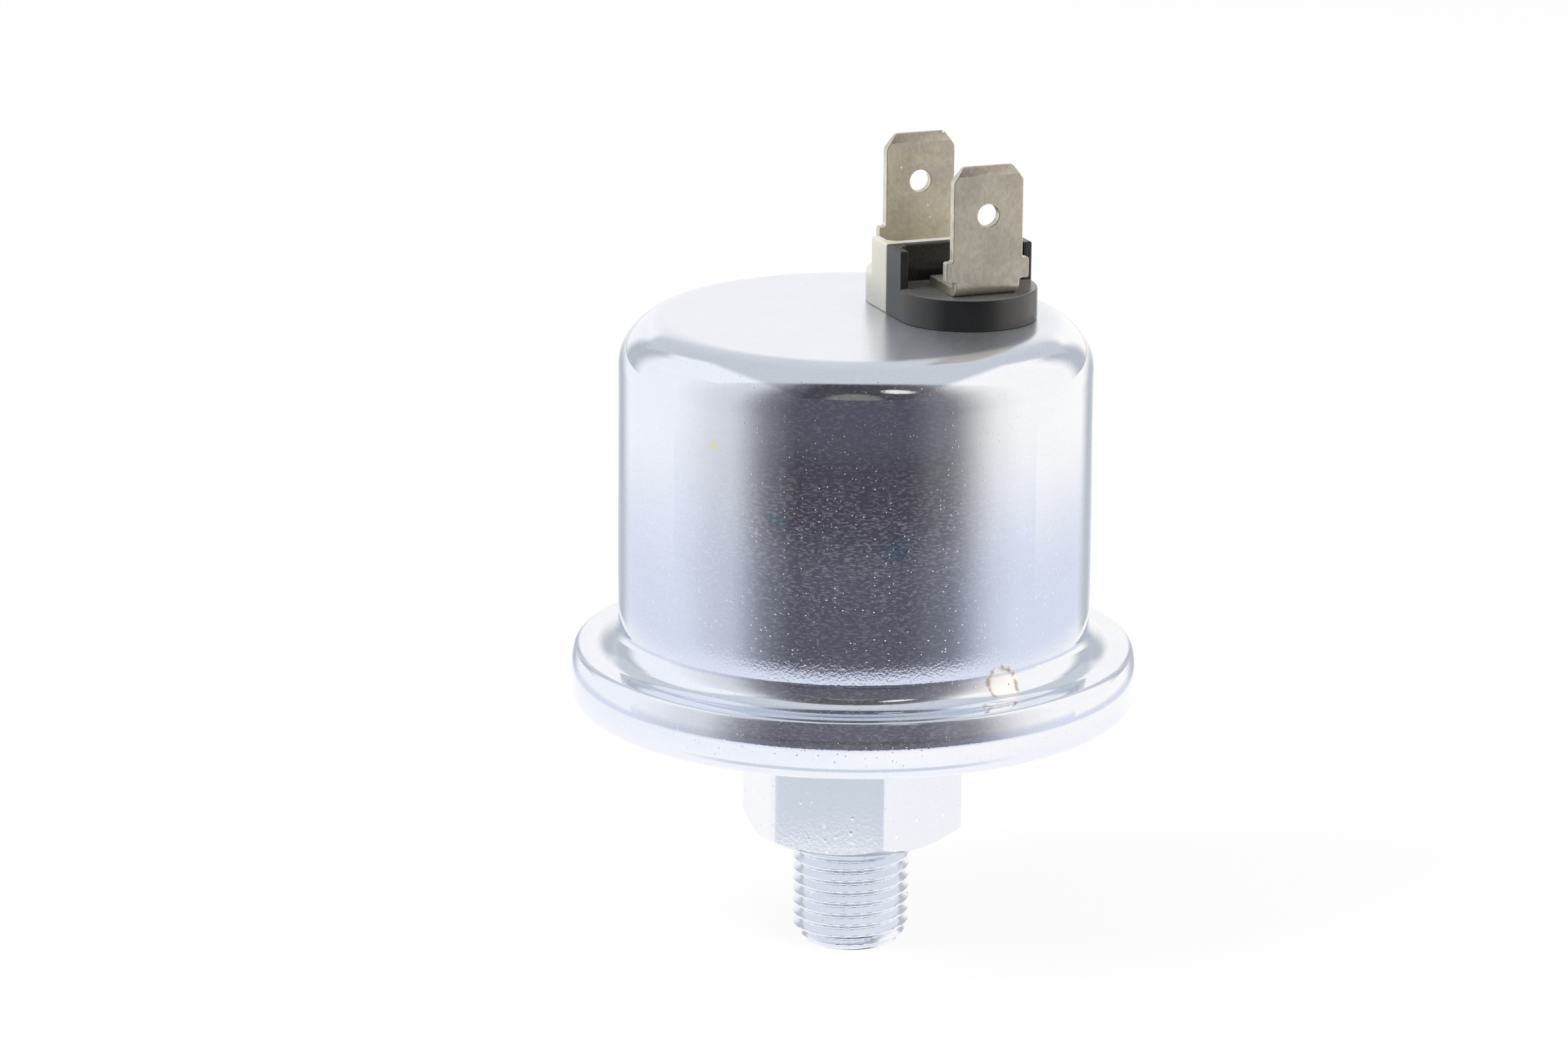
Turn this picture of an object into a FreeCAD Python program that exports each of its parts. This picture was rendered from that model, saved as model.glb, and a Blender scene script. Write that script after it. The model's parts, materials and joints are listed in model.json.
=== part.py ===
"""Oil pressure sensor for an engine: a crimped sheet-steel can on a hexagon stud.

Oil enters through the threaded stud and lifts a corrugated diaphragm. The diaphragm lifts a push pin,
the pin tilts a lever, and the lever slides a wiper along a wire-wound resistor and opens a warning
contact. Two flat blade terminals on top carry the gauge signal and the warning signal.

Frame: millimetres, +Z up along the stud's axis, origin on that axis in the plane of the hexagon's
lower face, where the sensor seats on the engine. +X points from the axis to the pair of terminals,
and the front terminal, in the black block, lies towards -Y.
"""
import FreeCAD, Part

import math
import os

from FreeCAD import Vector

os.makedirs("parts", exist_ok=True)

# Stud with its hexagon, M10 x 1, and the pressure port through it
thread_d = 10.0
thread_length = 9.8
thread_end_d = 8.2
thread_chamfer_height = 1.2
hex_across_flats = 17.0
hex_height = 10.5
hex_turn = -6.6
hex_chamfer_d = 16.2
hex_chamfer_angle = 30.0
port_d = 3.0
port_mouth_d = 4.0
port_mouth_depth = 6.0
restrictor_length = 2.0
orifice_d = 0.8
spigot_d = 10.0
peened_d = 12.4
peened_height = 0.6

# Sheet-steel can with the flange that is rolled round the plates
sheet = 0.8
case_d = 40.3
case_height = 28.6
case_top_radius = 4.2
foot_radius = 2.0
flange_width = 4.1
flange_edge_radius = 0.5
flange_side_radius = 6.0
flange_side_lean = 20.0
flange_lower_radius = 1.4
lip_width = 2.75

# Stack of plates inside the rolled flange
stack_clearance = 0.3
plate_thickness = 1.5
plate_edge_radius = 0.7
dish_depth = 2.0
dish_margin = 4.75
dish_slope = 1.6
gasket_thickness = 0.3
gasket_setback = 0.4
diaphragm_thickness = 0.2
wave_inner_d = 10.0
wave_clearance = 0.15
wave_count = 6
wave_depth = 0.3
carrier_thickness = 1.5
hat_slope = 1.4
hat_wall_shift = 0.9
hat_margin = 7.3
guide_length = 2.0
guide_wall = 1.25

# Push pin and lever
running_gap = 0.05
pin_d = 3.0
pin_travel = 1.2
pin_foot_d = 8.0
pin_foot_thickness = 0.8
pin_above_guide = 2.0
pin_headroom = 0.45
lever_thickness = 1.0
lever_arm_length = 5.0
lever_width = 3.6
lever_root_width = 5.8
lever_tail = 1.8
lever_shoulder = 3.2
lever_taper = 4.8
lever_head = 3.4
lever_overhang = 0.6
lever_ear = 1.0
lever_ear_radius = 1.8
pivot_d = 1.5
pivot_head_d = 2.4
pivot_head = 0.5
pivot_above_lever = 0.2

# Bracket over the lever, with the return spring and its setting screw
bracket_sheet = 1.2
bracket_bend = 0.6
bracket_side_gap = 0.15
bracket_back = 3.0
bracket_front = 3.5
foot_reach = 8.9
foot_width = 6.0
foot_offset = -1.5
bracket_rivet_d = 1.8
rivet_head_d = 3.2
rivet_head = 0.6
bracket_rivet_reach = 6.9
spring_space = 9.5
spring_d = 4.2
spring_wire_d = 0.7
spring_turns = 5
screw_d = 3.0
screw_seat_d = 4.9
screw_seat = 0.8
screw_nose_d = 2.8
screw_nose = 1.75
screw_above_nut = 1.0
nut_across_flats = 5.5
nut_height = 1.8
slot_width = 0.7
slot_depth = 0.6

# Resistor beside the lever's end, its holder and the wiper
mechanism_margin = 4.75
former_width = 4.2
former_thickness = 1.0
former_headroom = 11.0
holder_height = 4.9
holder_wall = 0.4
holder_cheek = 1.7
holder_floor = 1.3
peg_d = 1.8
winding_thickness = 0.35
winding_bottom = 0.8
winding_margin = 5.9
winding_pitch = 1.0
winding_groove = 0.15
clip_sheet = 0.35
clip_width = 2.8
clip_depth = 1.4
wiper_sheet = 0.3
wiper_height = 2.1
wiper_base_length = 3.7
wiper_base_width = 2.9
wiper_bend = 0.5
wiper_tip_d = 0.9
wiper_rivet_d = 1.2
wiper_rivet_head_d = 2.2
wiper_rivet_head = 0.5
wiper_base_setback = 0.5
wiper_finger_setback = 0.6
wiper_overhang = 0.3

# Warning contact under the lever's side tab
contact_inset = 1.1
contact_reach = 6.2
contact_block_width = 4.8
contact_block_length = 4.6
contact_block_height = 4.0
contact_block_shift = 0.4
contact_screw_d = 2.0
contact_screw_depth = 2.7
contact_button_d = 1.8
contact_button = 0.5
contact_tag_sheet = 0.5
contact_tag_width = 2.2
contact_nut_across_flats = 4.0
contact_nut_height = 1.2
wire_d = 0.8
wire_bend = 0.8
wire_bow = 1.2
wire_clearance = 1.8
wire_margin = 0.2
wire_drop = 1.8
wire_slant = 3.5

# Terminal group on top of the can
terminal_x = 8.6
block_gap = 0.1
block_width = 12.0
block_straight = 3.3
block_height = 2.7
block_wall_height = 3.3
block_wall = 0.8
block_arm = 0.75
block_arm_length = 3.3
block_inner_chamfer = 0.6
collar_d = 4.7
blade_width = 6.3
blade_thickness = 0.8
blade_height = 11.1
blade_reach = 7.4
blade_bend = 0.2
blade_tip_width = 4.4
blade_tip_chamfer = 1.25
blade_tip_bevel = 0.8
blade_tip_thickness = 0.36
blade_hole_d = 1.9
blade_hole_below_tip = 4.2
blade_shoulder_width = 7.5
blade_shoulder_below_tip = 8.0
blade_shoulder_height = 1.75
blade_neck_width = 5.8
blade_foot_length = 5.3
terminal_rivet_setback = 2.9
terminal_rivet_d = 2.5
terminal_rivet_head_d = 3.8
terminal_rivet_head = 0.8
terminal_rivet_round = 0.5
inner_washer_gap = 1.0
inner_washer = 1.2
tag_sheet = 0.5
tag_eye_d = 5.2
tag_width = 2.4
tag_drop = 4.0

# Levels that follow from the sizes above
base_bottom = hex_height + dish_depth
gasket_bottom = base_bottom + plate_thickness
diaphragm_bottom = gasket_bottom + gasket_thickness
carrier_bottom = diaphragm_bottom + diaphragm_thickness
carrier_top = carrier_bottom + carrier_thickness
flange_top = carrier_top + sheet
lip_bottom = base_bottom - sheet
case_top = flange_top + case_height
hat_rise = running_gap + pin_foot_thickness + pin_travel + pin_headroom
hat_top = carrier_top + hat_rise
guide_top = hat_top + guide_length
pin_bottom = carrier_bottom + running_gap
pin_top = guide_top + pin_above_guide
lever_bottom = pin_top + running_gap
lever_top = lever_bottom + lever_thickness
pivot_level = lever_top + pivot_above_lever + pivot_d / 2
bridge_bottom = lever_top + spring_space
bridge_top = bridge_bottom + bracket_sheet
screw_seat_bottom = bridge_bottom - screw_seat
holder_top = carrier_top + holder_height
former_bottom = carrier_top + holder_floor
former_top = case_top - former_headroom
contact_block_top = carrier_top + contact_block_height
foot_top = case_top + block_height + blade_thickness
washer_bottom = case_top - sheet - inner_washer
tag_bottom = washer_bottom - tag_sheet

# Radii and places that follow from them
case_r = case_d / 2
flange_r = case_r + flange_width
plate_r = flange_r - sheet - stack_clearance
case_inner_r = case_r - sheet
dish_d = 2 * (case_inner_r - dish_margin)
gasket_inner_d = dish_d + 2 * gasket_setback
hat_base_r = case_inner_r - hat_margin
wave_outer_d = 2 * (hat_base_r - hat_wall_shift - wave_clearance)
terminal_rivet_reach = blade_reach - terminal_rivet_setback
inner_washer_d = 2 * terminal_rivet_reach - inner_washer_gap
reach_x = case_inner_r - mechanism_margin
pivot_x = -lever_arm_length
bracket_inner_y = lever_root_width / 2 + bracket_side_gap
bracket_outer_y = bracket_inner_y + bracket_sheet
lever_end_x = reach_x + lever_overhang
contact_x = reach_x - contact_inset
winding_turns = int((former_top - former_bottom - winding_margin) / winding_pitch)
winding_face_y = terminal_rivet_reach - former_thickness / 2 - winding_thickness

ORIGIN = Vector(0, 0, 0)
UP = Vector(0, 0, 1)


def edges_of(points, place):
    """Edges through 2D points; a pair of points is an arc, by its middle and its end."""
    here = place(*points[0])
    edges = []
    for step in points[1:]:
        if isinstance(step[0], tuple):
            end = place(*step[1])
            edges.append(Part.Arc(here, place(*step[0]), end).toShape())
        else:
            end = place(*step)
            edges.append(Part.LineSegment(here, end).toShape())
        here = end
    start = place(*points[0])
    if here.distanceToPoint(start) > 1e-6:
        edges.append(Part.LineSegment(here, start).toShape())
    return edges


def on_section(r, z):
    return Vector(r, 0, z)


def in_plan(z):
    return lambda x, y: Vector(x, y, z)


def on_side(y):
    return lambda x, z: Vector(x, y, z)


def on_front(x):
    return lambda y, z: Vector(x, y, z)


def face_of(points, place):
    return Part.Face(Part.Wire(edges_of(points, place)))


def turned(points, x=0.0, y=0.0):
    """Closed outline of (radius, height) points, turned about a vertical axis at x, y."""
    shape = face_of(points, on_section).revolve(ORIGIN, UP, 360)
    shape.translate(Vector(x, y, 0))
    return shape


def arc(centre, radius, degrees_mid, degrees_end):
    """Middle and end of an arc, for an outline."""
    def at(degrees):
        a = math.radians(degrees)
        return (centre[0] + radius * math.cos(a), centre[1] + radius * math.sin(a))
    return (at(degrees_mid), at(degrees_end))


def cylinder(d, bottom, top, x=0.0, y=0.0):
    return Part.makeCylinder(d / 2, top - bottom, Vector(x, y, bottom), UP)


def ring(outer_d, inner_d, bottom, top, x=0.0, y=0.0):
    return cylinder(outer_d, bottom, top, x, y).cut(cylinder(inner_d, bottom, top, x, y))


def box(x0, x1, y0, y1, z0, z1):
    return Part.makeBox(x1 - x0, y1 - y0, z1 - z0, Vector(x0, y0, z0))


def hexagon(across_flats, bottom, top, x=0.0, y=0.0, turn=0.0):
    """Hexagonal prism with two flats facing along X, then turned."""
    corner_r = across_flats / math.sqrt(3)
    corners = []
    for k in range(6):
        a = math.radians(turn + 30 + 60 * k)
        corners.append((x + corner_r * math.cos(a), y + corner_r * math.sin(a)))
    return face_of(corners, in_plan(bottom)).extrude(Vector(0, 0, top - bottom))


def rounded_path(points, radius):
    """Straight runs and tangent arcs through points: (start, [(in, middle, out, centre)], end)."""
    corners = []
    for before, corner, after in zip(points, points[1:], points[2:]):
        to_before = (before - corner).normalize()
        to_after = (after - corner).normalize()
        half = to_before.getAngle(to_after) / 2
        run = radius / math.tan(half)
        bisector = (to_before + to_after).normalize()
        centre = corner + bisector * (radius / math.sin(half))
        corners.append((corner + to_before * run, centre - bisector * radius,
                        corner + to_after * run, centre))
    return points[0], corners, points[-1]


def strip(points, thickness, bend, place):
    """Face of a bent strip of sheet whose middle line runs through 2D points."""
    line = [Vector(a, b, 0) for a, b in points]
    start, corners, end = rounded_path(line, bend + thickness / 2)
    half = thickness / 2

    def side_of(sign):
        def shifted(point, along):
            return point + Vector(-along.y, along.x, 0).normalize() * (sign * half)
        steps = [shifted(start, line[1] - line[0])]
        for k, (arc_in, middle, arc_out, centre) in enumerate(corners):
            along_in = line[k + 1] - line[k]
            along_out = line[k + 2] - line[k + 1]
            left_turn = along_in.cross(along_out).z > 0
            grow = -sign * half if left_turn else sign * half
            outward = (middle - centre).normalize()
            steps.append(shifted(arc_in, along_in))
            steps.append((middle + outward * grow, shifted(arc_out, along_out)))
        steps.append(shifted(end, line[-1] - line[-2]))
        return steps

    def flat(point):
        return (point.x, point.y)

    outline = []
    for step in side_of(1):
        outline.append((flat(step[0]), flat(step[1])) if isinstance(step, tuple) else flat(step))
    back = side_of(-1)
    position = len(back) - 1
    outline.append(flat(back[position]))
    while position > 0:
        step = back[position]
        previous = back[position - 1]
        previous_end = previous[1] if isinstance(previous, tuple) else previous
        if isinstance(step, tuple):
            outline.append((flat(step[0]), flat(previous_end)))
        else:
            outline.append(flat(previous_end))
        position -= 1
    return face_of(outline, place)


def bent_wire(points, d, bend):
    """Round wire along straight runs and tangent arcs."""
    line = [Vector(*p) for p in points]
    start, corners, end = rounded_path(line, bend)
    edges = []
    here = start
    for arc_in, middle, arc_out, _ in corners:
        edges.append(Part.LineSegment(here, arc_in).toShape())
        edges.append(Part.Arc(arc_in, middle, arc_out).toShape())
        here = arc_out
    edges.append(Part.LineSegment(here, end).toShape())
    path = Part.Wire(edges)
    section = Part.Wire(Part.Circle(start, line[1] - line[0], d / 2).toShape())
    return path.makePipeShell([section], True, False)


def slotted(shape, top, x=0.0, y=0.0):
    """Screwdriver slot across the top of a screw."""
    wide = shape.BoundBox.XLength
    return shape.cut(box(x - wide, x + wide, y - slot_width / 2, y + slot_width / 2,
                         top - slot_depth, top + slot_depth))


# Stud, restrictor and the plates in the flange
def pressure_stud():
    thread_r = thread_d / 2
    body = turned([(0, -thread_length), (thread_end_d / 2, -thread_length),
                   (thread_r, -thread_length + thread_chamfer_height), (thread_r, hex_height / 2),
                   (0, hex_height / 2)])
    corner_r = hex_across_flats / math.sqrt(3)
    drop = (corner_r - hex_chamfer_d / 2) * math.tan(math.radians(hex_chamfer_angle))
    blank = turned([(0, 0), (hex_chamfer_d / 2, 0), (corner_r, drop), (corner_r, hex_height),
                    (0, hex_height)])
    head = hexagon(hex_across_flats, 0, hex_height, turn=hex_turn).common(blank)
    spigot_top = hex_height + plate_thickness
    spigot = cylinder(spigot_d, hex_height, spigot_top)
    peened = cylinder(peened_d, spigot_top, spigot_top + peened_height)
    port = cylinder(port_d, -thread_length, spigot_top + peened_height)
    mouth = cylinder(port_mouth_d, -thread_length, port_mouth_depth - thread_length)
    return body.fuse([head, spigot, peened]).cut([port, mouth]).removeSplitter()


def port_restrictor():
    top = port_mouth_depth - thread_length
    return ring(port_mouth_d, orifice_d, top - restrictor_length, top)


def base_plate():
    floor_top = hex_height + plate_thickness
    rim_top = base_bottom + plate_thickness
    dish_r = dish_d / 2
    inner = dish_r - plate_edge_radius
    edge_centre = (plate_r - plate_edge_radius, base_bottom + plate_edge_radius)
    return turned([
        (spigot_d / 2, hex_height), (dish_r - dish_slope, hex_height), (dish_r, base_bottom),
        (edge_centre[0], base_bottom), arc(edge_centre, plate_edge_radius, -45, 0),
        (plate_r, rim_top), (inner, rim_top), (inner - dish_slope, floor_top),
        (spigot_d / 2, floor_top)])


def diaphragm_gasket():
    return ring(2 * plate_r, gasket_inner_d, gasket_bottom, diaphragm_bottom)


def diaphragm():
    """Thin disc with ring-shaped waves round a flat centre."""
    step = (wave_outer_d - wave_inner_d) / 2 / wave_count
    chain = [(plate_r, 0.0), (wave_outer_d / 2, 0.0)]
    for k in range(wave_count):
        r_out = wave_outer_d / 2 - k * step
        swing = -wave_depth if k % 2 == 0 else wave_depth
        chain.append(((r_out - step / 2, swing), (r_out - step, 0.0)))
    chain.append((0.0, 0.0))

    def raised(point, lift):
        return (point[0], point[1] + lift)

    lower = []
    for p in chain:
        if isinstance(p[0], tuple):
            lower.append((raised(p[0], diaphragm_bottom), raised(p[1], diaphragm_bottom)))
        else:
            lower.append(raised(p, diaphragm_bottom))
    upper = [(0.0, carrier_bottom), (wave_inner_d / 2, carrier_bottom)]
    for k in range(wave_count):
        r_in = wave_inner_d / 2 + k * step
        swing = -wave_depth if (wave_count - 1 - k) % 2 == 0 else wave_depth
        upper.append(((r_in + step / 2, carrier_bottom + swing), (r_in + step, carrier_bottom)))
    upper.append((plate_r, carrier_bottom))
    return turned(lower + upper)


def carrier_plate():
    """Plate with a raised hat over the diaphragm and a guide collar for the push pin."""
    guide_r = pin_d / 2 + running_gap
    hat_r = hat_base_r - hat_slope
    plate = turned([
        (guide_r, hat_top - carrier_thickness), (hat_r - hat_wall_shift, hat_top - carrier_thickness),
        (hat_base_r - hat_wall_shift, carrier_bottom), (plate_r, carrier_bottom),
        (plate_r, carrier_top), (hat_base_r, carrier_top), (hat_r, hat_top),
        (guide_r + guide_wall, hat_top), (guide_r + guide_wall, guide_top), (guide_r, guide_top)])
    holes = []
    for side in (-1, 1):
        holes.append(cylinder(bracket_rivet_d, carrier_bottom, hat_top, foot_offset,
                              side * bracket_rivet_reach))
    holes.append(cylinder(peg_d, carrier_bottom, carrier_top, reach_x, terminal_rivet_reach))
    holes.append(cylinder(peg_d, carrier_bottom, carrier_top, contact_x, -contact_reach))
    return plate.cut(holes)


def case_shell():
    """Drawn can whose flange is rolled round the plates; holes in its top for the terminals."""
    lean = math.radians(flange_side_lean)
    edge_reach = flange_side_radius - flange_edge_radius
    side_z = flange_top - flange_edge_radius - edge_reach * math.sin(lean)
    side_centre = (flange_r - flange_side_radius, side_z)
    edge_centre = (side_centre[0] + edge_reach * math.cos(lean), flange_top - flange_edge_radius)
    inner_side = flange_side_radius - sheet
    inner_lean = math.degrees(math.asin((carrier_top - side_z) / inner_side))
    top_centre = (case_r - case_top_radius, case_top - case_top_radius)
    foot_centre = (case_r + foot_radius, flange_top + foot_radius)
    lower_centre = (flange_r - flange_lower_radius, lip_bottom + flange_lower_radius)
    lip_r = flange_r - lip_width
    shell = turned([
        (0, case_top), (top_centre[0], case_top), arc(top_centre, case_top_radius, 45, 0),
        (case_r, foot_centre[1]), arc(foot_centre, foot_radius, 225, 270),
        (edge_centre[0], flange_top),
        arc(edge_centre, flange_edge_radius, 45 + flange_side_lean / 2, flange_side_lean),
        arc(side_centre, flange_side_radius, flange_side_lean / 2, 0), (flange_r, lower_centre[1]),
        arc(lower_centre, flange_lower_radius, -45, -90), (lip_r, lip_bottom),
        ((lip_r - sheet / 2, lip_bottom + sheet / 2), (lip_r, base_bottom)),
        (lower_centre[0], base_bottom), arc(lower_centre, flange_lower_radius - sheet, -45, 0),
        (flange_r - sheet, side_z), arc(side_centre, inner_side, inner_lean / 2, inner_lean),
        (foot_centre[0], carrier_top),
        arc(foot_centre, foot_radius + sheet, 225, 180), (case_inner_r, top_centre[1]),
        arc(top_centre, case_top_radius - sheet, 45, 90), (0, case_top - sheet)])
    holes = [cylinder(collar_d, case_top - sheet, case_top, terminal_x, side * terminal_rivet_reach)
             for side in (-1, 1)]
    return shell.cut(holes)


# Push pin, lever and bracket
def push_pin():
    pin_r = pin_d / 2
    foot_r = pin_foot_d / 2
    foot_level = pin_bottom + pin_foot_thickness
    return turned([(0, pin_bottom), (foot_r, pin_bottom), (foot_r, foot_level), (pin_r, foot_level),
                   (pin_r, pin_top - pin_r), arc((0, pin_top - pin_r), pin_r, 45, 90)])


def lever_arm():
    """Flat lever with two ears round its pivot and a side tab for the warning contact."""
    half = lever_width / 2
    root = lever_root_width / 2
    tail_x = pivot_x - lever_tail
    root_x = pivot_x + lever_shoulder
    taper_x = root_x + lever_taper
    head_x = lever_end_x - lever_head
    tab_y = -(contact_reach + contact_button_d / 2 + lever_thickness / 2)
    plate = face_of([
        (tail_x, -root), (root_x, -root), (taper_x, -half), (head_x, -half), (head_x, tab_y),
        (lever_end_x, tab_y), (lever_end_x, wiper_base_width / 2), (head_x, half), (taper_x, half),
        (root_x, root), (tail_x, root)], in_plan(lever_bottom))
    shape = plate.extrude(Vector(0, 0, lever_thickness))
    for side in (-1, 1):
        outer = side * root
        inner = side * (root - lever_ear)
        low_y, high_y = min(outer, inner), max(outer, inner)
        cheek = box(pivot_x - lever_ear_radius, pivot_x + lever_ear_radius, low_y, high_y,
                    lever_bottom, pivot_level)
        crown = Part.makeCylinder(lever_ear_radius, lever_ear, Vector(pivot_x, low_y, pivot_level),
                                  Vector(0, 1, 0))
        shape = shape.fuse([cheek, crown])
    pivot_hole = Part.makeCylinder(pivot_d / 2 + running_gap, lever_root_width,
                                   Vector(pivot_x, -root, pivot_level), Vector(0, 1, 0))
    rivet_hole = cylinder(wiper_rivet_d, lever_bottom, lever_top, wiper_rivet_x(), 0)
    return shape.cut([pivot_hole, rivet_hole]).removeSplitter()


def lever_contact():
    return cylinder(contact_button_d, lever_bottom - contact_button, lever_bottom, contact_x,
                    -contact_reach)


def lever_pivot_pin():
    """Pin through both bracket walls, with a head outside each."""
    pin = Part.makeCylinder(pivot_d / 2, 2 * bracket_outer_y,
                            Vector(pivot_x, -bracket_outer_y, pivot_level), Vector(0, 1, 0))
    heads = [Part.makeCylinder(pivot_head_d / 2, pivot_head, Vector(pivot_x, y, pivot_level),
                               Vector(0, 1, 0))
             for y in (-bracket_outer_y - pivot_head, bracket_outer_y)]
    return pin.fuse(heads).removeSplitter()


def mechanism_bracket():
    """Bridge of bent sheet over the lever, standing on two feet."""
    wall_y = (bracket_inner_y + bracket_outer_y) / 2
    foot_z = hat_top + bracket_sheet / 2
    bridge_z = bridge_bottom + bracket_sheet / 2
    section = strip([(-foot_reach, foot_z), (-wall_y, foot_z), (-wall_y, bridge_z),
                     (wall_y, bridge_z), (wall_y, foot_z), (foot_reach, foot_z)],
                    bracket_sheet, bracket_bend, on_front(pivot_x - bracket_back))
    length = bracket_back - pivot_x + bracket_front
    shape = section.extrude(Vector(length, 0, 0))
    back_x = pivot_x - bracket_back
    foot_back = foot_offset - foot_width / 2
    foot_front = foot_offset + foot_width / 2
    cuts = []
    for side in (-1, 1):
        y0, y1 = sorted((side * bracket_outer_y, side * (foot_reach + 1)))
        cuts.append(box(back_x - 1, foot_back, y0, y1, hat_top - 1, bridge_bottom))
        cuts.append(box(foot_front, bracket_front + 1, y0, y1, hat_top - 1, bridge_bottom))
        cuts.append(cylinder(bracket_rivet_d, hat_top, hat_top + bracket_sheet, foot_offset,
                             side * bracket_rivet_reach))
    cuts.append(Part.makeCylinder(pivot_d / 2, 2 * bracket_outer_y,
                                  Vector(pivot_x, -bracket_outer_y, pivot_level), Vector(0, 1, 0)))
    cuts.append(cylinder(screw_d, bridge_bottom, bridge_top))
    return shape.cut(cuts)


def rivet(d, head_d, head, bottom, top, x, y):
    """Shank from bottom to top with a low head beyond each end."""
    shank = cylinder(d, bottom, top, x, y)
    lower = cylinder(head_d, bottom - head, bottom, x, y)
    upper = cylinder(head_d, top, top + head, x, y)
    return shank.fuse([lower, upper]).removeSplitter()


def bracket_rivets():
    return Part.makeCompound([
        rivet(bracket_rivet_d, rivet_head_d, rivet_head, hat_top - carrier_thickness,
              hat_top + bracket_sheet, foot_offset, side * bracket_rivet_reach) for side in (-1, 1)])


def return_spring():
    """Coil spring between the lever and the seat on the setting screw."""
    wire_r = spring_wire_d / 2
    bottom = lever_top + wire_r
    height = screw_seat_bottom - wire_r - bottom
    path = Part.makeHelix(height / spring_turns, height, spring_d / 2)
    path.translate(Vector(0, 0, bottom))
    section = Part.Wire(Part.Circle(Vector(spring_d / 2, 0, bottom), Vector(0, 1, 0), wire_r).toShape())
    return Part.Wire(path).makePipeShell([section], True, True)


def setting_screw():
    """Screw in the bridge that carries the spring's upper seat."""
    tip = screw_seat_bottom - screw_nose
    head = bridge_top + nut_height + screw_above_nut
    shape = turned([(0, tip), (screw_nose_d / 2, tip), (screw_nose_d / 2, screw_seat_bottom),
                    (screw_seat_d / 2, screw_seat_bottom), (screw_seat_d / 2, bridge_bottom),
                    (screw_d / 2, bridge_bottom), (screw_d / 2, head), (0, head)])
    return slotted(shape, head)


def setting_nut():
    return hexagon(nut_across_flats, bridge_top, bridge_top + nut_height).cut(
        cylinder(screw_d, bridge_top, bridge_top + nut_height))


# Resistor, wiper and warning contact
def former_block(grow=0.0, bottom=former_bottom, top=former_top):
    return box(reach_x - former_width / 2 - grow, reach_x + former_width / 2 + grow,
               terminal_rivet_reach - former_thickness / 2 - grow,
               terminal_rivet_reach + former_thickness / 2 + grow, bottom, top)


def resistor_former():
    return former_block()


def resistor_winding():
    """Turns of wire side by side round the former, as ridges on one sleeve."""
    start = holder_top + winding_bottom
    end = start + winding_turns * winding_pitch
    sleeve = former_block(winding_thickness - winding_groove, start, end)
    turns = [former_block(winding_thickness, start + k * winding_pitch + winding_groove,
                          start + (k + 1) * winding_pitch - winding_groove)
             for k in range(winding_turns)]
    return sleeve.fuse(turns).cut(former_block(0.0, start, end))


def resistor_holder():
    """Moulded block that stands on the carrier plate and grips the former's lower end."""
    block = box(reach_x - former_width / 2 - holder_wall, reach_x + former_width / 2 + holder_wall,
                terminal_rivet_reach - former_thickness / 2 - holder_cheek,
                terminal_rivet_reach + former_thickness / 2 + holder_cheek, carrier_top, holder_top)
    peg = cylinder(peg_d, carrier_bottom, carrier_top, reach_x, terminal_rivet_reach)
    return block.fuse(peg).cut(former_block(0.0, former_bottom, holder_top)).removeSplitter()


def resistor_clip():
    """Sheet cap on the former's upper end, where the wire is soldered."""
    cap = box(reach_x - clip_width / 2, reach_x + clip_width / 2,
              terminal_rivet_reach - former_thickness / 2 - clip_sheet,
              terminal_rivet_reach + former_thickness / 2 + clip_sheet,
              former_top - clip_depth, former_top + clip_sheet)
    return cap.cut(former_block())


def wiper_rivet_x():
    return lever_end_x - lever_head + wiper_base_length / 2 - wiper_base_setback


def wiper_spring():
    """Bronze strip riveted on the lever, with a finger that bears on the winding."""
    x0 = wiper_rivet_x() - wiper_base_length / 2
    x1 = x0 + wiper_base_length
    edge_y = wiper_base_width / 2
    base = box(x0, x1, -edge_y, edge_y, lever_top, lever_top + wiper_sheet)
    line_y = edge_y - wiper_sheet / 2
    tip_x = lever_end_x + wiper_overhang
    tip_y = winding_face_y - running_gap - wiper_tip_d / 2
    finger_line = [(x0, line_y), (x1 - wiper_finger_setback, line_y), (tip_x, tip_y)]
    finger_face = strip(finger_line, wiper_sheet, wiper_bend, in_plan(lever_top))
    finger = finger_face.extrude(Vector(0, 0, wiper_height))
    tip = cylinder(wiper_tip_d, lever_top, lever_top + wiper_height, tip_x, tip_y)
    hole = cylinder(wiper_rivet_d, lever_top, lever_top + wiper_sheet, wiper_rivet_x(), 0)
    return base.fuse([finger, tip]).cut(hole).removeSplitter()


def wiper_rivet():
    return rivet(wiper_rivet_d, wiper_rivet_head_d, wiper_rivet_head, lever_bottom,
                 lever_top + wiper_sheet, wiper_rivet_x(), 0)


def contact_block():
    """Insulating block under the lever's tab, on a peg in the carrier plate."""
    x0 = contact_x + contact_block_shift - contact_block_length / 2
    block = box(x0, x0 + contact_block_length, -contact_reach - contact_block_width / 2,
                -contact_reach + contact_block_width / 2, carrier_top, contact_block_top)
    peg = cylinder(peg_d, carrier_bottom, carrier_top, contact_x, -contact_reach)
    hole = cylinder(contact_screw_d, contact_block_top - contact_screw_depth, contact_block_top,
                    contact_x, -contact_reach)
    return block.fuse(peg).cut(hole).removeSplitter()


def contact_tag():
    end_x = wire_foot_x() + wire_margin + wire_d / 2
    tag = box(contact_x - contact_tag_width / 2, end_x, -contact_reach - contact_tag_width / 2,
              -contact_reach + contact_tag_width / 2, contact_block_top,
              contact_block_top + contact_tag_sheet)
    return tag.cut(cylinder(contact_screw_d, contact_block_top, contact_block_top + contact_tag_sheet,
                            contact_x, -contact_reach))


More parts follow.
